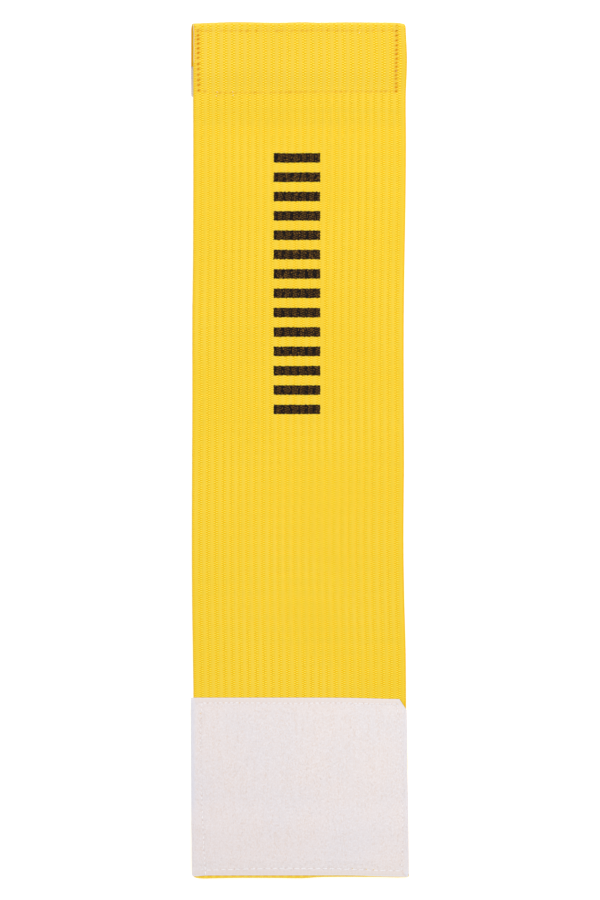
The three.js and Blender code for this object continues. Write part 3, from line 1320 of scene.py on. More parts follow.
@dataclass(frozen=True)
class Grain:
    """A small closed form: its points across, along and out, and faces of each corner count."""

    points: tuple[Place, ...]
    faces: tuple[tuple[tuple[int, ...], ...], ...]


ROUNDED_GRAIN = Grain(
    points=(
        (-0.48, -0.5, 0), (-0.42, -0.19, 1), (-0.42, 0.19, 1), (-0.48, 0.5, 0),
        (0.48, -0.5, 0), (0.42, -0.19, 1), (0.42, 0.19, 1), (0.48, 0.5, 0),
        (-0.54, 0, 0.5), (0.54, 0, 0.5),
    ),
    faces=(
        ((1, 5, 6, 2), (0, 4, 5, 1), (2, 6, 7, 3), (3, 7, 4, 0)),
        ((8, 0, 1), (8, 1, 2), (8, 2, 3), (8, 3, 0), (9, 5, 4), (9, 6, 5), (9, 7, 6), (9, 4, 7)),
    ),
)
RIDGE_GRAIN = Grain(
    points=(
        (-0.5, -0.5, 0), (0.5, -0.5, 0), (0.5, 0.5, 0), (-0.5, 0.5, 0), (-0.3, 0, 1), (0.3, 0, 1),
    ),
    faces=(((0, 1, 5, 4), (2, 3, 4, 5), (3, 2, 1, 0)), ((0, 4, 3), (1, 2, 5))),
)
FRONT_LEFT_COLUMN = PickColumn(phase=0.185, offset=0.5, width=0.30, share=0.88, rise=0.100)
FRONT_RIGHT_COLUMN = PickColumn(phase=0.890, offset=0.0, width=0.30, share=0.80, rise=0.120)
BACK_COLUMNS = (
    PickColumn(phase=0.185, offset=0.5, width=0.30, share=0.86, rise=0.125),
    PickColumn(phase=0.89, offset=0.0, width=0.30, share=0.86, rise=0.125),
)


@dataclass
class ElasticBand:
    """The ribbed strip, folded over at both ends, and the picks between its ribs."""

    strip: Strip = field(default_factory=Strip)
    front_phases: Row = (0.05, 0.29, 0.39, 0.55, 0.71, 0.81)
    back_phases: Row = (0.12, 0.36, 0.55, 0.74)
    sewn_ribs: Pair = (0.60, 25.78)  # the seam's two lines along the strip
    sewn_reach: float = 0.24  # beside each of them the points stand closer together
    sewn_points: int = 7
    edge_ribs: Pair = (0.20, 26.93)
    sewn_y: Pair = (178.4, 150.2)  # the hook end's seam, and a little more
    ramp_y: float = 136.0
    patch_y: float = -103.0
    hem_y: float = 151.0
    flap_rings: int = 6
    turn_rings: int = 12
    top_step: float = 0.45  # from ring to ring, between the upper fold and the seam
    seam_step: float = 0.34
    ramp_step: float = 1.2
    step: float = 3.0
    patch_step: float = 1.5
    deepest: float = 0.55  # that a seam draws a face in
    upper_z: float = 2.9  # heights that tell the two sewn faces from the flaps
    lower_z: float = 1.2
    first_pick: float = 0.25  # the outermost picks' distance from the left edge, in ribs
    last_pick: float = 0.18  # and from the right one
    outer_width: float = 0.6  # their width, as a share of the others'
    outer_share: float = 0.6  # their length, in picks
    front_end_y: float = -107.0
    back_start_y: float = 148.5
    pick_stray: Row = (0.005, 0.03, 0.02, 0.08)  # in rib count, width, place along and rise
    pick_sunk: float = 0.03  # how deep the picks' feet are in the channel floor
    hem_flat: float = 0.3  # share of a pick's rise that is lost in the sewn hem
    edge_cap: float = 0.0008  # picks stay this share of the width away from the edges
    top_groove: float = 0.20  # depth of the front's stitches under the ribs
    back_groove: float = 0.24  # height of the back's stitches, in their groove
    knot_height: float = 0.68  # over the middle surface
    loose_y: Pair = (180.2, 163.8)  # where the loose end starts and ends
    loose_tips: Pair = (180.8, 163.6)  # where its taper would come to nothing
    loose_rings: int = 36
    loose_x: float = -44.84
    loose_z: float = 5.51
    loose_radius: float = 0.06
    loose_sways: tuple[Pair, ...] = ((0.03, 0.9), (0.02, 2.3), (0.02, 1.1))  # two sideways, one up
    lean: Pair = (0.20, 0.05)  # how far its upper part lies further left and lower
    lean_y: Pair = (174.0, 6.0)  # where that starts, and the length over which it grows
    dive: float = 0.5
    dive_y: Pair = (179.2, 1.5)
    line: StripLine = field(init=False)

    def __post_init__(self) -> None:
        """Follow the strip once, for every mesh made on it."""
        self.line = self.strip.line()

    def run_length(self, y: float) -> float:
        """Length along the strip at which the main run passes a place y."""
        turned = (self.line.face_z > 0.5) & (np.abs(self.line.y) <= self.strip.fold_centre)
        return float(np.interp(-y, -self.line.y[turned], self.line.s[turned]))

    def stations(self) -> Array:
        """Lengths at which the skin has a ring.

        Close together in the folds and where the hook end is sewn, further apart on its ramp and
        under the patch, and furthest on the plain run between them.

        Returns:
            The lengths, in order.
        """
        s, flap, turn = self.line.s, self.strip.flap_steps, self.strip.turn_steps
        upper_turn = (s[flap], s[flap + turn])
        lower_turn = (s[-1 - flap - turn], s[-1 - flap])
        sewn_start, sewn_end = (self.run_length(y) for y in self.sewn_y)
        ramp, patch = self.run_length(self.ramp_y), self.run_length(self.patch_y)
        parts = (
            np.linspace(0, upper_turn[0], self.flap_rings + 1)[:-1],
            np.linspace(*upper_turn, self.turn_rings + 1),
            np.arange(upper_turn[1] + 0.3, sewn_start, self.top_step),
            np.arange(sewn_start, sewn_end, self.seam_step),
            np.arange(sewn_end, ramp, self.ramp_step),
            np.arange(ramp, patch, self.step),
            np.arange(patch, lower_turn[0] - 0.5, self.patch_step),
            np.linspace(*lower_turn, self.turn_rings + 1),
            np.linspace(lower_turn[1], s[-1], self.flap_rings + 1)[1:],
        )
        return np.unique(np.round(np.concatenate(parts), 4))

    def section(self) -> tuple[Array, Array]:
        """Rib counts round the section, and the side that each of its points is on.

        The back from left to right, then the front from right to left, with a point at each
        corner. Points stand closer together near the two sewn lines along the strip.

        Returns:
            Rib counts, and 1 for the front side or -1 for the back.
        """
        ribs, edge = np.arange(self.strip.ribs)[:, None], float(self.strip.ribs)
        beside = np.linspace(-self.sewn_reach, self.sewn_reach, self.sewn_points)
        fine = np.add.outer(self.sewn_ribs, beside).ravel()
        front = np.concatenate([(ribs + self.front_phases).ravel(), fine, self.edge_ribs])
        front = np.unique(np.round(front, 3))
        back = (ribs + self.back_phases).ravel()
        count = np.concatenate([[0.0], back, [edge], [edge], front[::-1], [0.0]])
        side = np.concatenate([-np.ones(len(back) + 2), np.ones(len(front) + 2)])
        return count, side

    def drawn_in(self, points: Array, side: Array) -> tuple[Array, Array]:
        """How deep the seams draw a face in, and how much shade is painted in the hollows.

        The front is drawn in by the seam at the hook end, and the back by the one at the loop
        end. The flaps are left alone, which their heights tell.

        Args:
            points: Places on the strip.
            side: 1 for the front side, -1 for the back.

        Returns:
            Depths in millimetres, and painted shade from 0 to 1.
        """
        x, y, z = np.moveaxis(points, -1, 0)
        on_top = (side > 0) & (z > self.upper_z) & (y > 0)
        beneath = (side < 0) & (z < self.lower_z) & (y < 0)
        front, back = FRONT_TUCK.read(x, y), BACK_TUCK.read(x, y)
        depth, dark = (on_top * f + beneath * b for f, b in zip(front, back))
        return np.minimum(depth, self.deepest), dark

    def ground(self, material: Material) -> Piece:
        """Build the ground cloth: one closed skin round the strip.

        A ring's point stands out from the middle line by the ribs' relief, less what the seams
        draw in. At the two corners the strip is as thin as its woven edge.

        Args:
            material: The ground's finish.

        Returns:
            The piece.
        """
        strip, line = self.strip, self.line
        s = self.stations()[:, None]
        ribs, side = self.section()
        corner = (ribs == 0) | (ribs == strip.ribs)
        out = np.where(corner, strip.edge / 2, strip.relief(line, ribs, s)) * side
        across = np.clip(ribs / strip.ribs, 0, 1)
        depth, dark = self.drawn_in(strip.place(line, across, s, out), side)
        points = strip.place(line, across, s, out - side * depth)
        picks = np.interp(s, line.s, line.picks)
        weave = np.stack(np.broadcast_arrays(ribs, picks), -1)
        # The rim mark is the fold turns, which the finish paints lighter: a painted highlight.
        rim = (line.read(s)[3] ** 2 < 0.9) + 0.0 * ribs
        half_turn = line.s[strip.flap_steps + strip.turn_steps // 2 + 1]
        flap_rim = (s < half_turn) & (ribs < 0.4)
        # Painted shadow on the folded flap's edge, where it shows from under the front layer.
        flap_shadow = np.where(ribs < 0.1, 0.2, 0.5) * flap_rim
        marks = {
            "pit": np.clip(dark + flap_shadow, 0, 1),
            "front": np.broadcast_to((side > 0) * 1.0, dark.shape),
            "rim": 0.7 * rim,
            # The finish paints edge shade by the selvage mark.
            "selvage": np.broadcast_to(1.0 * (corner | (ribs < 0.1)), dark.shape),
        }
        faces, maps = loft_faces(len(s), len(ribs)), {"Weave": weave}
        piece = make_piece("elastic_ground", points, faces, material, Slot.ELASTIC, maps, marks)
        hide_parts("elastic_band")
        return piece

    def pick_places(self, column: PickColumn, start: float, end: float) -> tuple[Array, Array]:
        """Where the picks of one column of every channel are.

        The outermost columns stand further in, beside the woven edges.

        Args:
            column: The column.
            start: Length along the strip where the picks begin.
            end: Length where they end.

        Returns:
            Rib counts and lengths along the strip, one of each for a pick.
        """
        line, ribs = self.line, self.strip.ribs
        low, high = np.interp([start, end], line.s, line.picks)
        number = np.arange(math.ceil(low), math.floor(high)) + column.offset
        s = np.interp(number, line.picks, line.s)
        places = np.arange(ribs) + column.phase
        places = np.clip(places, self.first_pick, ribs - self.last_pick)
        grid = np.meshgrid(places, s, indexing="ij")
        return grid[0].ravel(), grid[1].ravel()

    def picks(
        self, name: str, material: Material, side: Side, columns: Sequence[PickColumn], grain: Grain
    ) -> Piece:
        """Build the picks that lie in the channels of one side, as small closed grains.

        A grain's points are a pick's place plus the template's, scaled by the grain's size, all in
        the strip's own directions: across, along and out. The crown mark goes from 0 at the foot
        to almost 1 on top; by it the finish paints shade at the foot and a highlight on top. The
        grains are lower in the sewn hem, where the cloth is stretched, and narrower beside the
        woven edges. Each differs a little from its neighbours.

        Args:
            name: The piece's name.
            material: The picks' finish.
            side: The side that they are on.
            columns: The columns of picks.
            grain: The template of a grain.

        Returns:
            The piece.
        """
        line, strip, template = self.line, self.strip, np.array(grain.points)
        on_front = side is Side.FRONT
        if on_front:
            start, end = line.s[strip.flap_steps + 1], self.run_length(self.front_end_y)
        else:
            start, end = self.run_length(self.back_start_y), line.s[-3 - strip.flap_steps]
        found = [self.pick_places(column, start, end) for column in columns]
        ribs, s = (np.concatenate(parts)[:, None] for parts in zip(*found))
        counts = [len(places[0]) for places in found]
        sizes = np.array([[c.width, c.share, c.rise] for c in columns])
        width, share, rise = np.repeat(sizes, counts, axis=0).T[..., None]
        outermost = (ribs <= self.first_pick) | (ribs >= strip.ribs - self.last_pick)
        width = np.where(outermost, self.outer_width * width, width)
        share = np.where(outermost, self.outer_share, share)
        rng = np.random.default_rng(31 + side.value)
        scale = np.array(self.pick_stray)[:, None, None]
        stray = scale * rng.normal(0, 1, (len(scale), len(ribs), 1))
        pitch = np.interp(s, line.s[1:], np.diff(line.s) / np.diff(line.picks))
        count = ribs + stray[0] + width * (1 + stray[1]) * template[:, 0]
        length = s + pitch * (stray[2] + share * template[:, 1])
        in_hem = (s < self.run_length(self.hem_y)) * on_front
        rise = rise * (1 + stray[3]) * (1 - self.hem_flat * in_hem)
        out = strip.channel_floor - self.pick_sunk + rise * template[:, 2]
        across = np.clip(count / strip.ribs, self.edge_cap, 1 - self.edge_cap)
        face = side.value * np.ones_like(out)
        depth, dark = self.drawn_in(strip.place(line, across, length, face * out), face)
        points = strip.place(line, across, length, face * (out - depth))
        weave = np.stack([count, np.interp(length, line.s, line.picks)], -1)
        crown = template[:, 2] * (1 - 0.06 * rng.uniform(0, 1, ribs.shape))
        marks = {"pit": dark, "front": np.full(out.shape, float(on_front)), "crown": crown}
        starts = (np.arange(len(ribs)) * len(template))[:, None, None]
        faces = []
        for block in grain.faces:
            order = np.array(block)[:, :: -side.value]
            faces.append((starts + order[None]).reshape(-1, order.shape[1]))
        return make_piece(name, points, faces, material, Slot.ELASTIC, {"Weave": weave}, marks)

    def stitch_top(self, x: Array, y: Array) -> Array:
        """Height of the front, in the groove of the seam."""
        return self.strip.height(y) + self.strip.half - self.top_groove

    def stitch_back(self, x: Array, y: Array) -> Array:
        """Height of the back, in the groove of the seam."""
        return np.full_like(x, self.back_groove)

    def knot_top(self, x: Array, y: Array) -> Array:
        """Height of the front, a little under the ribs of the sewn hem."""
        return self.strip.height(y) + self.knot_height

    def needle_thread(self, material: Material) -> Piece:
        """Build the yellow stitches on the front of the hook end."""
        points = HOOK_SEAM.stitches(self.stitch_top, up=1, radius=0.17, rise=0.02, dive=0.55)
        return make_tubes("hook_seam_yellow_thread", points, material, Slot.YELLOW_THREAD)

    def under_thread(self, material: Material) -> Piece:
        """Build the yellow stitches on the back of the loop end."""
        points = LOOP_SEAM.stitches(self.stitch_back, up=-1, radius=0.13, rise=0.06, dive=0.3)
        return make_tubes("loop_seam_yellow_thread", points, material, Slot.YELLOW_THREAD)

    def loose_end(self, material: Material) -> Piece:
        """Build the thread's loose end, which clings to the left edge of the front.

        Its path goes down along the edge and sways by small sines. Its upper part lies a little
        further left and lower, and dives into the cloth at its end. It tapers to both ends.

        Args:
            material: Its finish.

        Returns:
            The piece.
        """
        y = np.linspace(*self.loose_y, self.loose_rings)
        lean = smooth((y - self.lean_y[0]) / self.lean_y[1])
        dive = smooth((y - self.dive_y[0]) / self.dive_y[1])
        slow, quick, upward = (size * np.sin(y * rate) for size, rate in self.loose_sways)
        x = self.loose_x - self.lean[0] * lean + slow + quick
        z = self.loose_z - self.lean[1] * lean + upward - self.dive * dive
        path = np.stack([x, y, z], -1)[None]
        taper = np.minimum(y - self.loose_tips[1], self.loose_tips[0] - y)
        size = self.loose_radius * np.sqrt(np.clip(taper, 0.05, 1))
        points = tubes(path, size[None], 6)
        return make_tubes("hook_seam_loose_end", points, material, Slot.WHITE_THREAD)


# The loop patch


@dataclass
class LoopPatch:
    """The wide loop fastener on the lower end, its brushed loops and its seam."""

    strip: Strip = field(default_factory=Strip)
    width: float = 91.0
    backing: float = 0.6
    pile: float = 1.2
    border: float = 2.1  # plain border along the upper and lower edges
    border_soft: float = 0.5  # width over which its mark fades
    bead: Pair = (0.35, 0.25)  # distance of its bright cord from the end, and the half width
    shoulder: float = 1.1  # width over which the pile falls away at the cut sides
    side_height: float = 0.5  # share of the pile that is left at the very edge
    nap_start: float = 1.0  # how far out on the border the pile starts to rise
    nap_slope: float = 6.0
    upper_end: float = 0.15  # share of the backing's thickness that is left at the two ends
    lower_end: float = 0.12
    cell: float = 0.5
    fine_cell: float = 0.25
    fine_reach: float = 6.0
    brink: Row = (0, 0.0022, 0.0055)  # shares of the width, beside a cut side
    first_cell: float = 0.011
    middle_cells: int = 164
    tuft: float = 0.014
    loop_pitch: float = 0.98
    loop_x: Pair = (-45.4, 45.6)
    loop_y: Pair = (-107.2, -178.2)
    loop_margin: float = 0.7  # from the cut sides
    loop_span: Pair = (0.25, 0.42)  # least and most of half a loop's width
    loop_rise: Pair = (0.09, 0.17)
    loop_foot: float = 0.10  # depth of its feet in the pile
    loop_size: Row = (0.05, 0.055, 0.055, 0.05)  # its radius, from foot to foot
    bridge: float = 5.0  # how much further than the strip's ramp the stiff patch spans
    press: float = 0.28  # how far its ends are pressed down
    end_zone: float = 3.0  # near an end, where it is pressed down and the lower end slants
    end_reach: float = 1.2  # over which the backing thins towards the two ends
    end_row: float = 0.03  # from an end to the ring beside it
    thread_press: float = 0.12  # share of the pile that a stitch presses down
    hole_press: float = 0.3  # and that is drawn into a needle hole
    most_pressed: float = 0.6
    backing_press: float = 0.1  # share of the backing that a stitch presses down
    cut_fade: Pair = (0.6, 1.9)  # where a cut side's tone starts to fade, and over what width
    blue_left: Pair = (0.25, 0.7)  # strength of the left side's tone, and what is added above
    blue_y: Pair = (-158.0, 12.0)
    blue_right: float = 0.4
    curl: float = 0.4  # how far the lower right corner has curled up
    curl_reach: float = 3.4
    # The crease is only painted: a shadow line from the seam's corner into the curled one.
    crease_x: float = 43.0
    crease_y: float = -178.2
    crease_half: float = 0.5
    crease_length: float = 4.4  # its ways right and down, added up
    crease_ends: Pair = (0.9, 1.2)  # over which it fades in and out
    # At these places along: the left edge and the right one.
    rows: Row = (-104.95, -109.7, -121.8, -135.0, -148.1, -165.9, -178.9, -180.15)
    left: Row = (-46.2, -46.2, -46.15, -46.1, -46.05, -45.85, -45.75, -45.5)
    right: Row = (42.1, 45.2, 45.43, 45.47, 45.72, 45.95, 46.05, 45.65)
    # At these places across: how far each end is moved down.
    end_x: Row = (-46, -43.5, -40, -35, 0, 14, 20, 26, 32, 36, 42, 46)
    upper_drop: Row = (0, 0, 0, 0, 0, 0.04, 0.09, 0.2, 0.37, 0.49, 0.6, 0.65)
    lower_drop: Row = (
        0.45, 0.3, 0.05, 0, -0.03, -0.04, -0.02, 0.085, 0.36, 0.47, 0.58, 0.64,
    )

    @property
    def top(self) -> float:
        """Place of its upper edge."""
        return self.rows[0]

    @property
    def bottom(self) -> float:
        """Place of its lower edge."""
        return self.rows[-1]

    def edges(self, y: Array) -> tuple[Array, Array]:
        """Find its two side edges. The upper right corner is cut off in a straight line.

        Args:
            y: Places along.

        Returns:
            Places of the left edge and of the right one.
        """
        left = Curve(self.rows, self.left).at(y)
        cut = np.clip((self.rows[0] - y) / (self.rows[0] - self.rows[1]), 0, 1)
        corner = self.right[0] + cut * (self.right[1] - self.right[0])
        side = Curve(self.rows[1:], self.right[1:]).at(y)
        return left, np.where(cut < 1, corner, side)

    def underside(self, y: Array) -> Array:
        """Height of its lower face: level over the strip, then an eased step onto the flap.

        The stiff patch bridges the step in the strip, and both its ends are pressed down.

        Args:
            y: Places along.

        Returns:
            The heights.
        """
        strip = self.strip
        ramp_top = -strip.flap_end + strip.clearance
        span = strip.flap_ramp + self.bridge
        near_top = smooth(1 - (self.top - y) / self.end_zone)
        near_bottom = smooth(1 - (y - self.bottom) / self.end_zone)
        pressed = self.press * (near_top + near_bottom)
        step = smooth((ramp_top + span - y) / span)
        return strip.crest + strip.gap - pressed + strip.layer * step

    def slanted(self, x: Array, y: Array) -> Array:
        """Move places near both ends down by the two ends' curves, as the patch was cut.

        Args:
            x: Places across.
            y: Places along, as if both ends were cut straight.

        Returns:
            Places along, as they are.
        """
        above = 1 - smooth((self.top - y) / self.strip.reach)
        below = 1 - smooth((y - self.bottom) / self.end_zone)
        upper, lower = Curve(self.end_x, self.upper_drop), Curve(self.end_x, self.lower_drop)
        return y - above * upper.at(x) - below * lower.at(x)

    def thickness(self, x: Array, y: Array) -> tuple[Array, dict[str, Array]]:
        """How thick the patch is, and the marks that its finish reads.

        The backing, thinned at the two ends, plus the pile times a share. The share is 0 at the
        borders, rises over the nap's slope, and falls to a part of itself over the shoulder at the
        cut sides. The seam presses it down. The borders have a bright cord at their outer edge.
        A crease runs from the seam's corner into the curled one, only as a painted shadow. The
        pit mark carries it, and painted shade in the needle holes, where the yellow strip below
        shows through too.

        Args:
            x: Places across.
            y: Places along, as if both ends were cut straight.

        Returns:
            Thickness, and marks by name.
        """
        left, right = self.edges(y)
        side_gap = np.minimum(x - left, right - x)
        end_gap = np.minimum(self.top - y, y - self.bottom)
        bordered = 1 - smooth((end_gap - self.border + self.border_soft / 2) / self.border_soft)
        raised = smooth((end_gap - self.border + self.nap_start) / self.nap_slope)
        shoulder = self.side_height + (1 - self.side_height) * smooth(side_gap / self.shoulder)
        hole, thread = LOOP_SEAM.pull(x, self.slanted(x, y), hole=0.34, line=0.42)
        pressed = self.thread_press * thread + self.hole_press * hole
        pressed = 1 - np.clip(pressed, 0, self.most_pressed)
        end = np.where(self.top - y < y - self.bottom, self.upper_end, self.lower_end)
        thinned = end + (1 - end) * smooth(end_gap / self.end_reach)
        tall = self.backing * thinned * (1 - self.backing_press * thread)
        tall = tall + self.pile * raised * shoulder * pressed
        curl = smooth(1 - np.hypot(right - x, y - self.bottom) / self.curl_reach)
        along = x - self.crease_x - (y - self.crease_y)
        off = x - self.crease_x + (y - self.crease_y)
        crease = np.exp(-((off / self.crease_half) ** 2)) * smooth(along / self.crease_ends[0])
        crease = crease * smooth((self.crease_length - along) / self.crease_ends[1])
        above = smooth((y - self.blue_y[0]) / self.blue_y[1])
        blue = np.where(x < 0, self.blue_left[0] + self.blue_left[1] * above, self.blue_right)
        marks = {
            "border": bordered,
            "bead": np.exp(-(((end_gap - self.bead[0]) / self.bead[1]) ** 2)) * bordered,
            "cut": np.maximum(
                blue * (1 - smooth((side_gap - self.cut_fade[0]) / self.cut_fade[1])),
                0.9 * smooth(2.2 * curl) * smooth((off + 0.1) / 0.8),
            ),
            # Painted shade in the needle holes, where the yellow strip also shows, and a painted
            # shadow along the crease.
            "pit": np.clip(1.5 * (hole - 0.25) + 0.8 * crease, 0, 1),
        }
        return tall, marks

    def level(self, x: Array, y: Array) -> Array:
        """Height of its upper face."""
        return self.underside(y) + self.curled(x, y) + self.thickness(x, y)[0]

    def curled(self, x: Array, y: Array) -> Array:
        """How far the lower right corner has curled up: an eased rise towards its tip."""
        away = np.hypot(self.edges(y)[1] - x, y - self.bottom)
        return self.curl * smooth(1 - away / self.curl_reach)

    def row_places(self) -> Array:
        """Places along the patch that have a ring, closer together near the two ends.

        Returns:
            The places, from the upper edge to the lower one.
        """
        near, cell = self.fine_reach, self.fine_cell
        upper = np.arange(self.top, self.top - near, -cell)
        lower = np.arange(self.bottom, self.bottom + near, cell)[::-1]
        rows = round((upper[-1] - lower[0]) / self.cell)
        middle = np.linspace(upper[-1], lower[0], rows + 1)[1:-1]
        first = [self.top, self.top - self.end_row]
        last = [self.bottom + self.end_row, self.bottom]
        return np.concatenate([first, upper[1:], middle, lower[:-1], last])

    def column_shares(self) -> Array:
        """Shares of the width that have a point, closer together near the cut sides.

        Returns:
            The shares, from 0 to 1.
        """
        sewn = np.arange(
            self.first_cell, self.fine_reach / self.width, self.fine_cell / self.width
        )
        middle = np.linspace(sewn[-1], 1 - sewn[-1], self.middle_cells + 1)[1:-1]
        fine = np.concatenate([self.brink, sewn])
        return np.concatenate([fine, middle, 1 - fine[::-1]])

    def cloth(self, material: Material) -> Piece:
        """Build the patch: one closed skin, with rings across it from its upper edge to its lower.

        A ring goes along the lower face from left to right and back along the upper face. Each end
        is closed by faces from a lower point to the upper one above it. Small random tufts lift
        the points of the pile.

        Args:
            material: Its finish.

        Returns:
            The piece.
        """
        y, fine = self.row_places()[:, None], self.column_shares()
        share = np.concatenate([fine, fine[::-1]])
        left, right = self.edges(y)
        x = left + (right - left) * share
        upper = np.repeat([0.0, 1.0], len(fine))
        tall, marks = self.thickness(x, y + 0 * x)
        rng = np.random.default_rng(77)
        tufts = self.tuft * rng.normal(0, 1, x.shape) * (1 - marks["border"]) * (1 - marks["cut"])
        z = self.underside(y) + self.curled(x, y + 0 * x) + upper * (tall + tufts)
        points = np.stack([x, self.slanted(x, y), z], -1)
        k, last = np.arange(len(fine) - 1), len(share) - 1
        end = np.stack([k, k + 1, last - 1 - k, last - k], -1)
        sides = loft_faces(len(y), len(share))[0]
        faces = [sides, end[:, ::-1], end + (len(y) - 1) * len(share)]
        shown = {key: values * upper for key, values in marks.items()}
        piece = make_piece("loop_patch_cloth", points, faces, material, Slot.LOOP, marks=shown)
        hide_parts("loop_patch")
        return piece

    def loops(self, material: Material) -> Piece:
        """Build the loops of the pile: thousands of small closed arches.

        Seeds stand on a grid, each moved by chance. A loop's path is a half circle, flattened, in
        a random direction, with its feet in the pile.

        Args:
            material: Their finish.

        Returns:
            The piece.
        """
        rng, pitch = np.random.default_rng(12), self.loop_pitch
        x, y = np.meshgrid(np.arange(*self.loop_x, pitch), np.arange(*self.loop_y, -pitch))
        x = (x + rng.uniform(-0.5, 0.5, x.shape) * pitch).ravel()
        y = (y + rng.uniform(-0.5, 0.5, y.shape) * pitch).ravel()
        left, right = self.edges(y)
        kept = (x > left + self.loop_margin) & (x < right - self.loop_margin)
        x, y = x[kept, None], y[kept, None]
        turn = rng.uniform(0, math.pi, len(x))[:, None]
        span = rng.uniform(*self.loop_span, len(x))[:, None]
        rise = rng.uniform(*self.loop_rise, len(x))[:, None]
        arc = np.linspace(0, math.pi, len(self.loop_size))
        along = -np.cos(arc) * span
        foot = self.level(x, y) - self.loop_foot
        plan = (x + along * np.cos(turn), self.slanted(x, y) + along * np.sin(turn))
        path = np.stack([*plan, foot + np.sin(arc) * rise], -1)
        points = tubes(path, np.array(self.loop_size), 3)
        marks = {key: np.zeros(points.shape[:3]) for key in ("border", "bead", "cut", "pit")}
        return make_tubes("loop_patch_pile", points, material, Slot.LOOP, marks)

    def needle_thread(self, material: Material) -> Piece:
        """Build the white stitches on the patch."""
        points = LOOP_SEAM.stitches(self.level, up=1, radius=0.2, rise=-0.02, dive=0.6)
        return make_tubes("loop_seam_white_thread", points, material, Slot.WHITE_THREAD)


# The hook tape


@dataclass
class HookTape:
    """The narrow hook fastener under the upper end, with its hooks pointing down."""

    middle_x: float = -0.65
    middle_y: float = 164.5
    length: float = 91.0
    width: float = 30.0
    backing: float = 0.6
    hooks_tall: float = 1.4
    selvage: float = 1.6
    corner: float = 1.0
    cord_pitch: float = 1.5
    cord_depth: float = 0.05
    edge_share: float = 0.45  # share of the thickness that is left at the long edges
    edge_slope: float = 0.3
    bend_rings: int = 6  # at each end, whose corners are rounded
    middle_rings: int = 30
    middle_gap: float = 3.0  # from an end to the first of them
    points_across: int = 61
    bare_end: float = 2.0  # without hooks
    bare_side: float = 1.0  # inside the selvage
    hook_pitch_x: float = 1.3
    hook_pitch_y: float = 1.35
    hook_stray: float = 0.12
    row_shift: float = 0.3  # of every other row
    hook_turn: Pair = (0.95, 0.25)  # the way a hook bends, across and along
    hook_across: Row = (0.0, 0.02, 0.06, 0.20, 0.40, 0.56, 0.58)
    hook_z: Row = (1.46, 0.95, 0.50, 0.17, 0.12, 0.30, 0.52)
    hook_size: Row = (0.12, 0.11, 0.105, 0.10, 0.095, 0.085, 0.06)

    def cloth(self, material: Material) -> Piece:
        """Build the backing: one closed skin, with rings across it from its left end to its right.

        Half its width shrinks at the ends by a quarter circle, which rounds the corners. The faces
        have shallow cords: the thickness goes with the cosine of the place across. It thins out
        towards the two long edges.

        Args:
            material: Its finish.

        Returns:
            The piece.
        """
        reach = self.length / 2
        bend = self.corner * (1 - np.cos(np.linspace(0, math.pi / 2, self.bend_rings)))
        inner = reach - self.middle_gap
        middle = np.linspace(-inner, inner, self.middle_rings)
        x = np.concatenate([-reach + bend, middle, (reach - bend)[::-1]])
        past = np.clip(np.abs(x) - (reach - self.corner), 0, self.corner)
        half = self.width / 2 - self.corner + np.sqrt(np.maximum(self.corner**2 - past**2, 0))
        across = np.linspace(-1, 1, self.points_across)
        share = np.concatenate([across, across[::-1]])
        face = np.repeat([-1.0, 1.0], self.points_across)
        cords = self.cord_depth * np.cos(share * self.width * math.pi / self.cord_pitch)
        edge_gap = (1 - np.abs(share)) * self.width / 2
        thin = np.minimum(1, edge_gap / self.edge_slope + self.edge_share)
        core = self.backing / 2 - self.cord_depth
        z = self.hooks_tall + self.backing / 2 + face * (core + cords) * thin
        y = self.middle_y + half[:, None] * share
        points = np.stack(np.broadcast_arrays(self.middle_x + x[:, None], y, z), -1)
        faces = loft_faces(len(x), len(share))
        piece = make_piece("hook_tape_cloth", points, faces, material, Slot.HOOK)
        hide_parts("hook_tape")
        return piece

    def hooks(self, material: Material) -> Piece:
        """Build the hooks: each a tapering four-sided tube, down from the backing and round.

        The path is the same for all, turned to the left or right by chance. Every other row
        stands a little to the right.

        Args:
            material: Their finish.

        Returns:
            The piece.
        """
        rng = np.random.default_rng(3)
        stray = self.hook_stray
        far_x = self.length / 2 - self.bare_end
        far_y = self.width / 2 - self.selvage - self.bare_side
        columns = np.arange(-far_x, far_x, self.hook_pitch_x)
        rows = np.arange(-far_y, far_y + 0.1, self.hook_pitch_y)
        x, y = np.meshgrid(columns, rows)
        shift = self.row_shift * (np.arange(len(rows)) % 2)[:, None]
        x = (x + rng.uniform(-stray, stray, x.shape) + shift).ravel()[:, None]
        y = (y + rng.uniform(-stray, stray, y.shape)).ravel()[:, None]
        way = rng.choice([-1.0, 1.0], len(x))[:, None]
        across, z = np.array(self.hook_across), np.array(self.hook_z)
        plan = (
            self.middle_x + x + way * across * self.hook_turn[0],
            self.middle_y + y + way * across * self.hook_turn[1],
        )
        path = np.stack([*plan, np.broadcast_to(z, plan[0].shape)], -1)
        points = tubes(path, np.array(self.hook_size), 4, np.array([0.0, 1.0, 0.0]))
        return make_tubes("hook_tape_hooks", points, material, Slot.HOOK)

    def lower_face(self, x: Array, y: Array) -> Array:
        """Height of the backing's lower face."""
        return np.full_like(x, self.hooks_tall)

    def under_thread(self, material: Material) -> Piece:
        """Build the white stitches on the underside of the tape."""
        points = HOOK_SEAM.stitches(self.lower_face, up=-1, radius=0.17, rise=0.12, dive=0.25)
        return make_tubes("hook_seam_white_thread", points, material, Slot.WHITE_THREAD)


# Small knots, where the thread from the other side shows in a needle hole


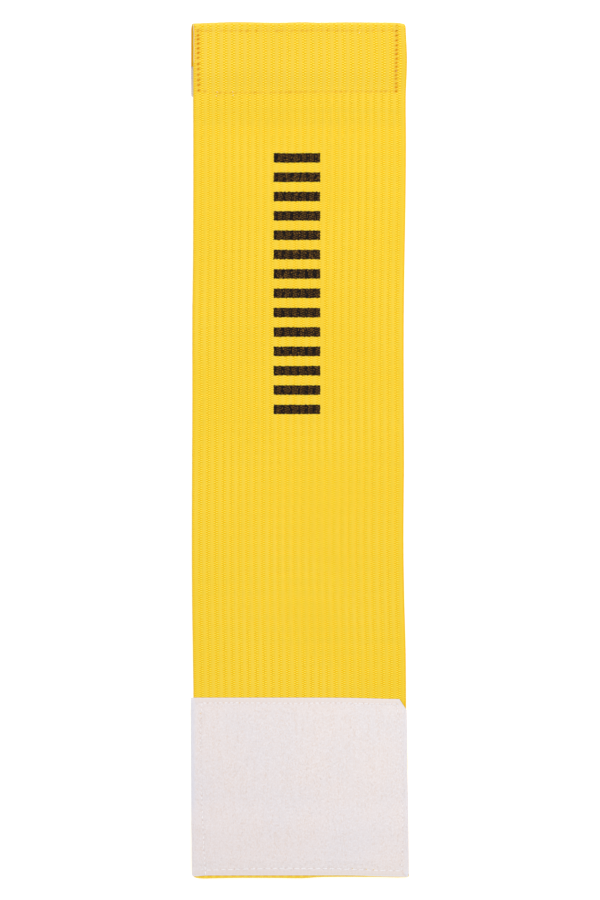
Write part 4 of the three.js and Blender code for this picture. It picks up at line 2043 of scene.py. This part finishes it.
HOOK_KNOTS = (  # places across and along, and the largest radius
    (-38.3, 176.7, 0.09), (25.1, 176.5, 0.15), (-35.1, 151.6, 0.15), (-35.4, 149.9, 0.15),
    (-28.5, 151.6, 0.13), (-28.3, 150.2, 0.15), (40.8, 167.6, 0.05), (40.8, 160.4, 0.09),
    (-44.8, 174.3, 0.12),
)
LOOP_KNOTS = (
    (22.2, -177.2, 0.17), (28.1, -177.45, 0.17), (31.1, -177.65, 0.16), (-25.6, -107.2, 0.15),
    (-32.2, -107.15, 0.12), (37.2, -107.6, 0.14), (41.1, -107.6, 0.13), (-42.15, -111.55, 0.15),
)
KNOT_RINGS = (-1.0, -0.6, 0.0, 0.6, 1.0)
KNOT_REACH = (1.3, 0.5, 0.0)  # from a knot's middle to its end, in radii


def knots(
    name: str, table: tuple[Place, ...], level: Level, material: Material, slot: Slot
) -> Piece:
    """Build one seam's knots: each a short rounded tube, mostly across, thicker in its middle.

    Args:
        name: The piece's name.
        table: Their places across and along, and the largest radius of each.
        level: Height of the cloth's face at places x and y.
        material: Their finish.
        slot: The record's slot.

    Returns:
        The piece.
    """
    x, y, radius = np.array(table).T
    places = np.stack([x, y, level(x, y)], -1)
    t = np.array(KNOT_RINGS)
    path = places[:, None, :] + radius[:, None, None] * t[None, :, None] * KNOT_REACH
    size = radius[:, None] * np.sqrt(np.maximum(1 - t**2, 0.06))
    return make_tubes(name, tubes(path, size, 6), material, slot)


# The studio


@dataclass(frozen=True)
class Lamp:
    """A square soft light: its place and its side in metres, and its power in watts."""

    name: str
    place: Place
    size: float
    power: float


@dataclass
class Studio:
    """A pale floor, lit a little from below, soft light above, and a camera that looks down."""

    lens: float = 250.0
    view_height: float = 0.38115
    subject_height: float = 0.003
    floor_reach: float = 6.0
    floor_glow: float = 0.4
    floor_tones: Pair = (0.79, 0.81)
    floor_grain: float = 600.0
    room_light: float = 0.98
    lamps: tuple[Lamp, ...] = (
        Lamp("upper_right_lamp", (0.35, 0.5, 0.85), size=0.7, power=3.1),
        Lamp("left_lamp", (-1.4, 0.2, 1.5), size=1.4, power=3.0),
    )

    def floor(self) -> None:
        """Lay a wide pale floor under the armband."""
        mesh = bpy.data.meshes.new("floor")
        r = self.floor_reach
        mesh.from_pydata([(-r, -r, 0), (r, -r, 0), (r, r, 0), (-r, r, 0)], [], [(0, 1, 2, 3)])
        sheet, shader, material = start_material("floor_paper", specular=0.1, sheen=0.0)
        shader.inputs["Roughness"].default_value = 0.9
        grain = sheet.ramp(sheet.noise(sheet.spot(), self.floor_grain), 0.3, 0.7)
        tone = sheet.mix(grain, *((grey, grey, grey) for grey in self.floor_tones))
        sheet.feed(shader.inputs["Base Color"], tone)
        shader.inputs["Emission Color"].default_value = (1.0, 1.0, 1.0, 1.0)
        shader.inputs["Emission Strength"].default_value = self.floor_glow
        mesh.materials.append(material)
        floor = bpy.data.objects.new("floor", mesh)
        bpy.context.scene.collection.objects.link(floor)

    def lights(self) -> None:
        """Set the even light of the room, and the lamps, pointed at the armband's middle."""
        world = bpy.data.worlds.new("room")
        world.use_nodes = True
        background = world.node_tree.nodes["Background"]
        background.inputs["Color"].default_value = (1.0, 1.0, 1.0, 1.0)
        background.inputs["Strength"].default_value = self.room_light
        bpy.context.scene.world = world
        for lamp in self.lamps:
            data = bpy.data.lights.new(lamp.name, "AREA")
            data.size, data.energy = lamp.size, lamp.power
            light = bpy.data.objects.new(lamp.name, data)
            light.location = lamp.place
            aim = -light.location.normalized()
            light.rotation_euler = aim.to_track_quat("-Z", "Y").to_euler()
            bpy.context.scene.collection.objects.link(light)

    def camera(self) -> None:
        """Look straight down with the hook end at the top of the picture.

        The long side of the picture takes in the view height: the distance is that height times
        the lens over the sensor's width.
        """
        data = bpy.data.cameras.new("camera")
        data.lens = self.lens
        distance = self.view_height * self.lens / data.sensor_width
        data.clip_start, data.clip_end = 0.05, 50.0
        camera = bpy.data.objects.new("camera", data)
        camera.location = (0.0, 0.0, distance + self.subject_height)
        bpy.context.scene.collection.objects.link(camera)
        bpy.context.scene.camera = camera

    def colours(self) -> None:
        """Show colours as they are, without a film look."""
        bpy.context.scene.view_settings.view_transform = "Standard"
        bpy.context.scene.view_settings.look = "None"


# Putting it together


def main() -> None:
    """Build the armband and the studio. Each piece is reported as it is made."""
    logging.basicConfig(level=logging.INFO, format="%(name)s: %(message)s")
    effects = Effects.build()
    elastic, hook_finish = ElasticFinish(), HookFinish()
    yellow, white = YELLOW_THREAD.material(effects), WHITE_THREAD.material(effects)
    grain_material = elastic.pick_material(effects)
    loop_material = LoopFinish().material(effects)

    band = ElasticBand()
    ground = band.ground(elastic.ground_material(effects))
    columns = (
        ("elastic_picks_left", Side.FRONT, [FRONT_LEFT_COLUMN], ROUNDED_GRAIN),
        ("elastic_picks_right", Side.FRONT, [FRONT_RIGHT_COLUMN], ROUNDED_GRAIN),
        ("elastic_picks_back", Side.BACK, BACK_COLUMNS, RIDGE_GRAIN),
    )
    grains = [band.picks(name, grain_material, *rest) for name, *rest in columns]
    seams = [band.needle_thread(yellow), band.under_thread(yellow), band.loose_end(white)]

    patch = LoopPatch()
    cloth = patch.cloth(loop_material)
    pile = patch.loops(loop_material)
    white_seam = patch.needle_thread(white)

    tape = HookTape()
    backing = tape.cloth(hook_finish.tape_material(effects))
    hooks = tape.hooks(hook_finish.hook_material(effects))
    tape_seam = tape.under_thread(white)

    hook_knots = knots(
        "hook_seam_white_knots", HOOK_KNOTS, band.knot_top, white, Slot.WHITE_THREAD
    )
    loop_knots = knots(
        "loop_seam_yellow_knots", LOOP_KNOTS, patch.level, yellow, Slot.YELLOW_THREAD
    )

    studio = Studio()
    studio.floor()
    studio.lights()
    studio.camera()
    studio.colours()


if __name__ == "__main__":
    main()
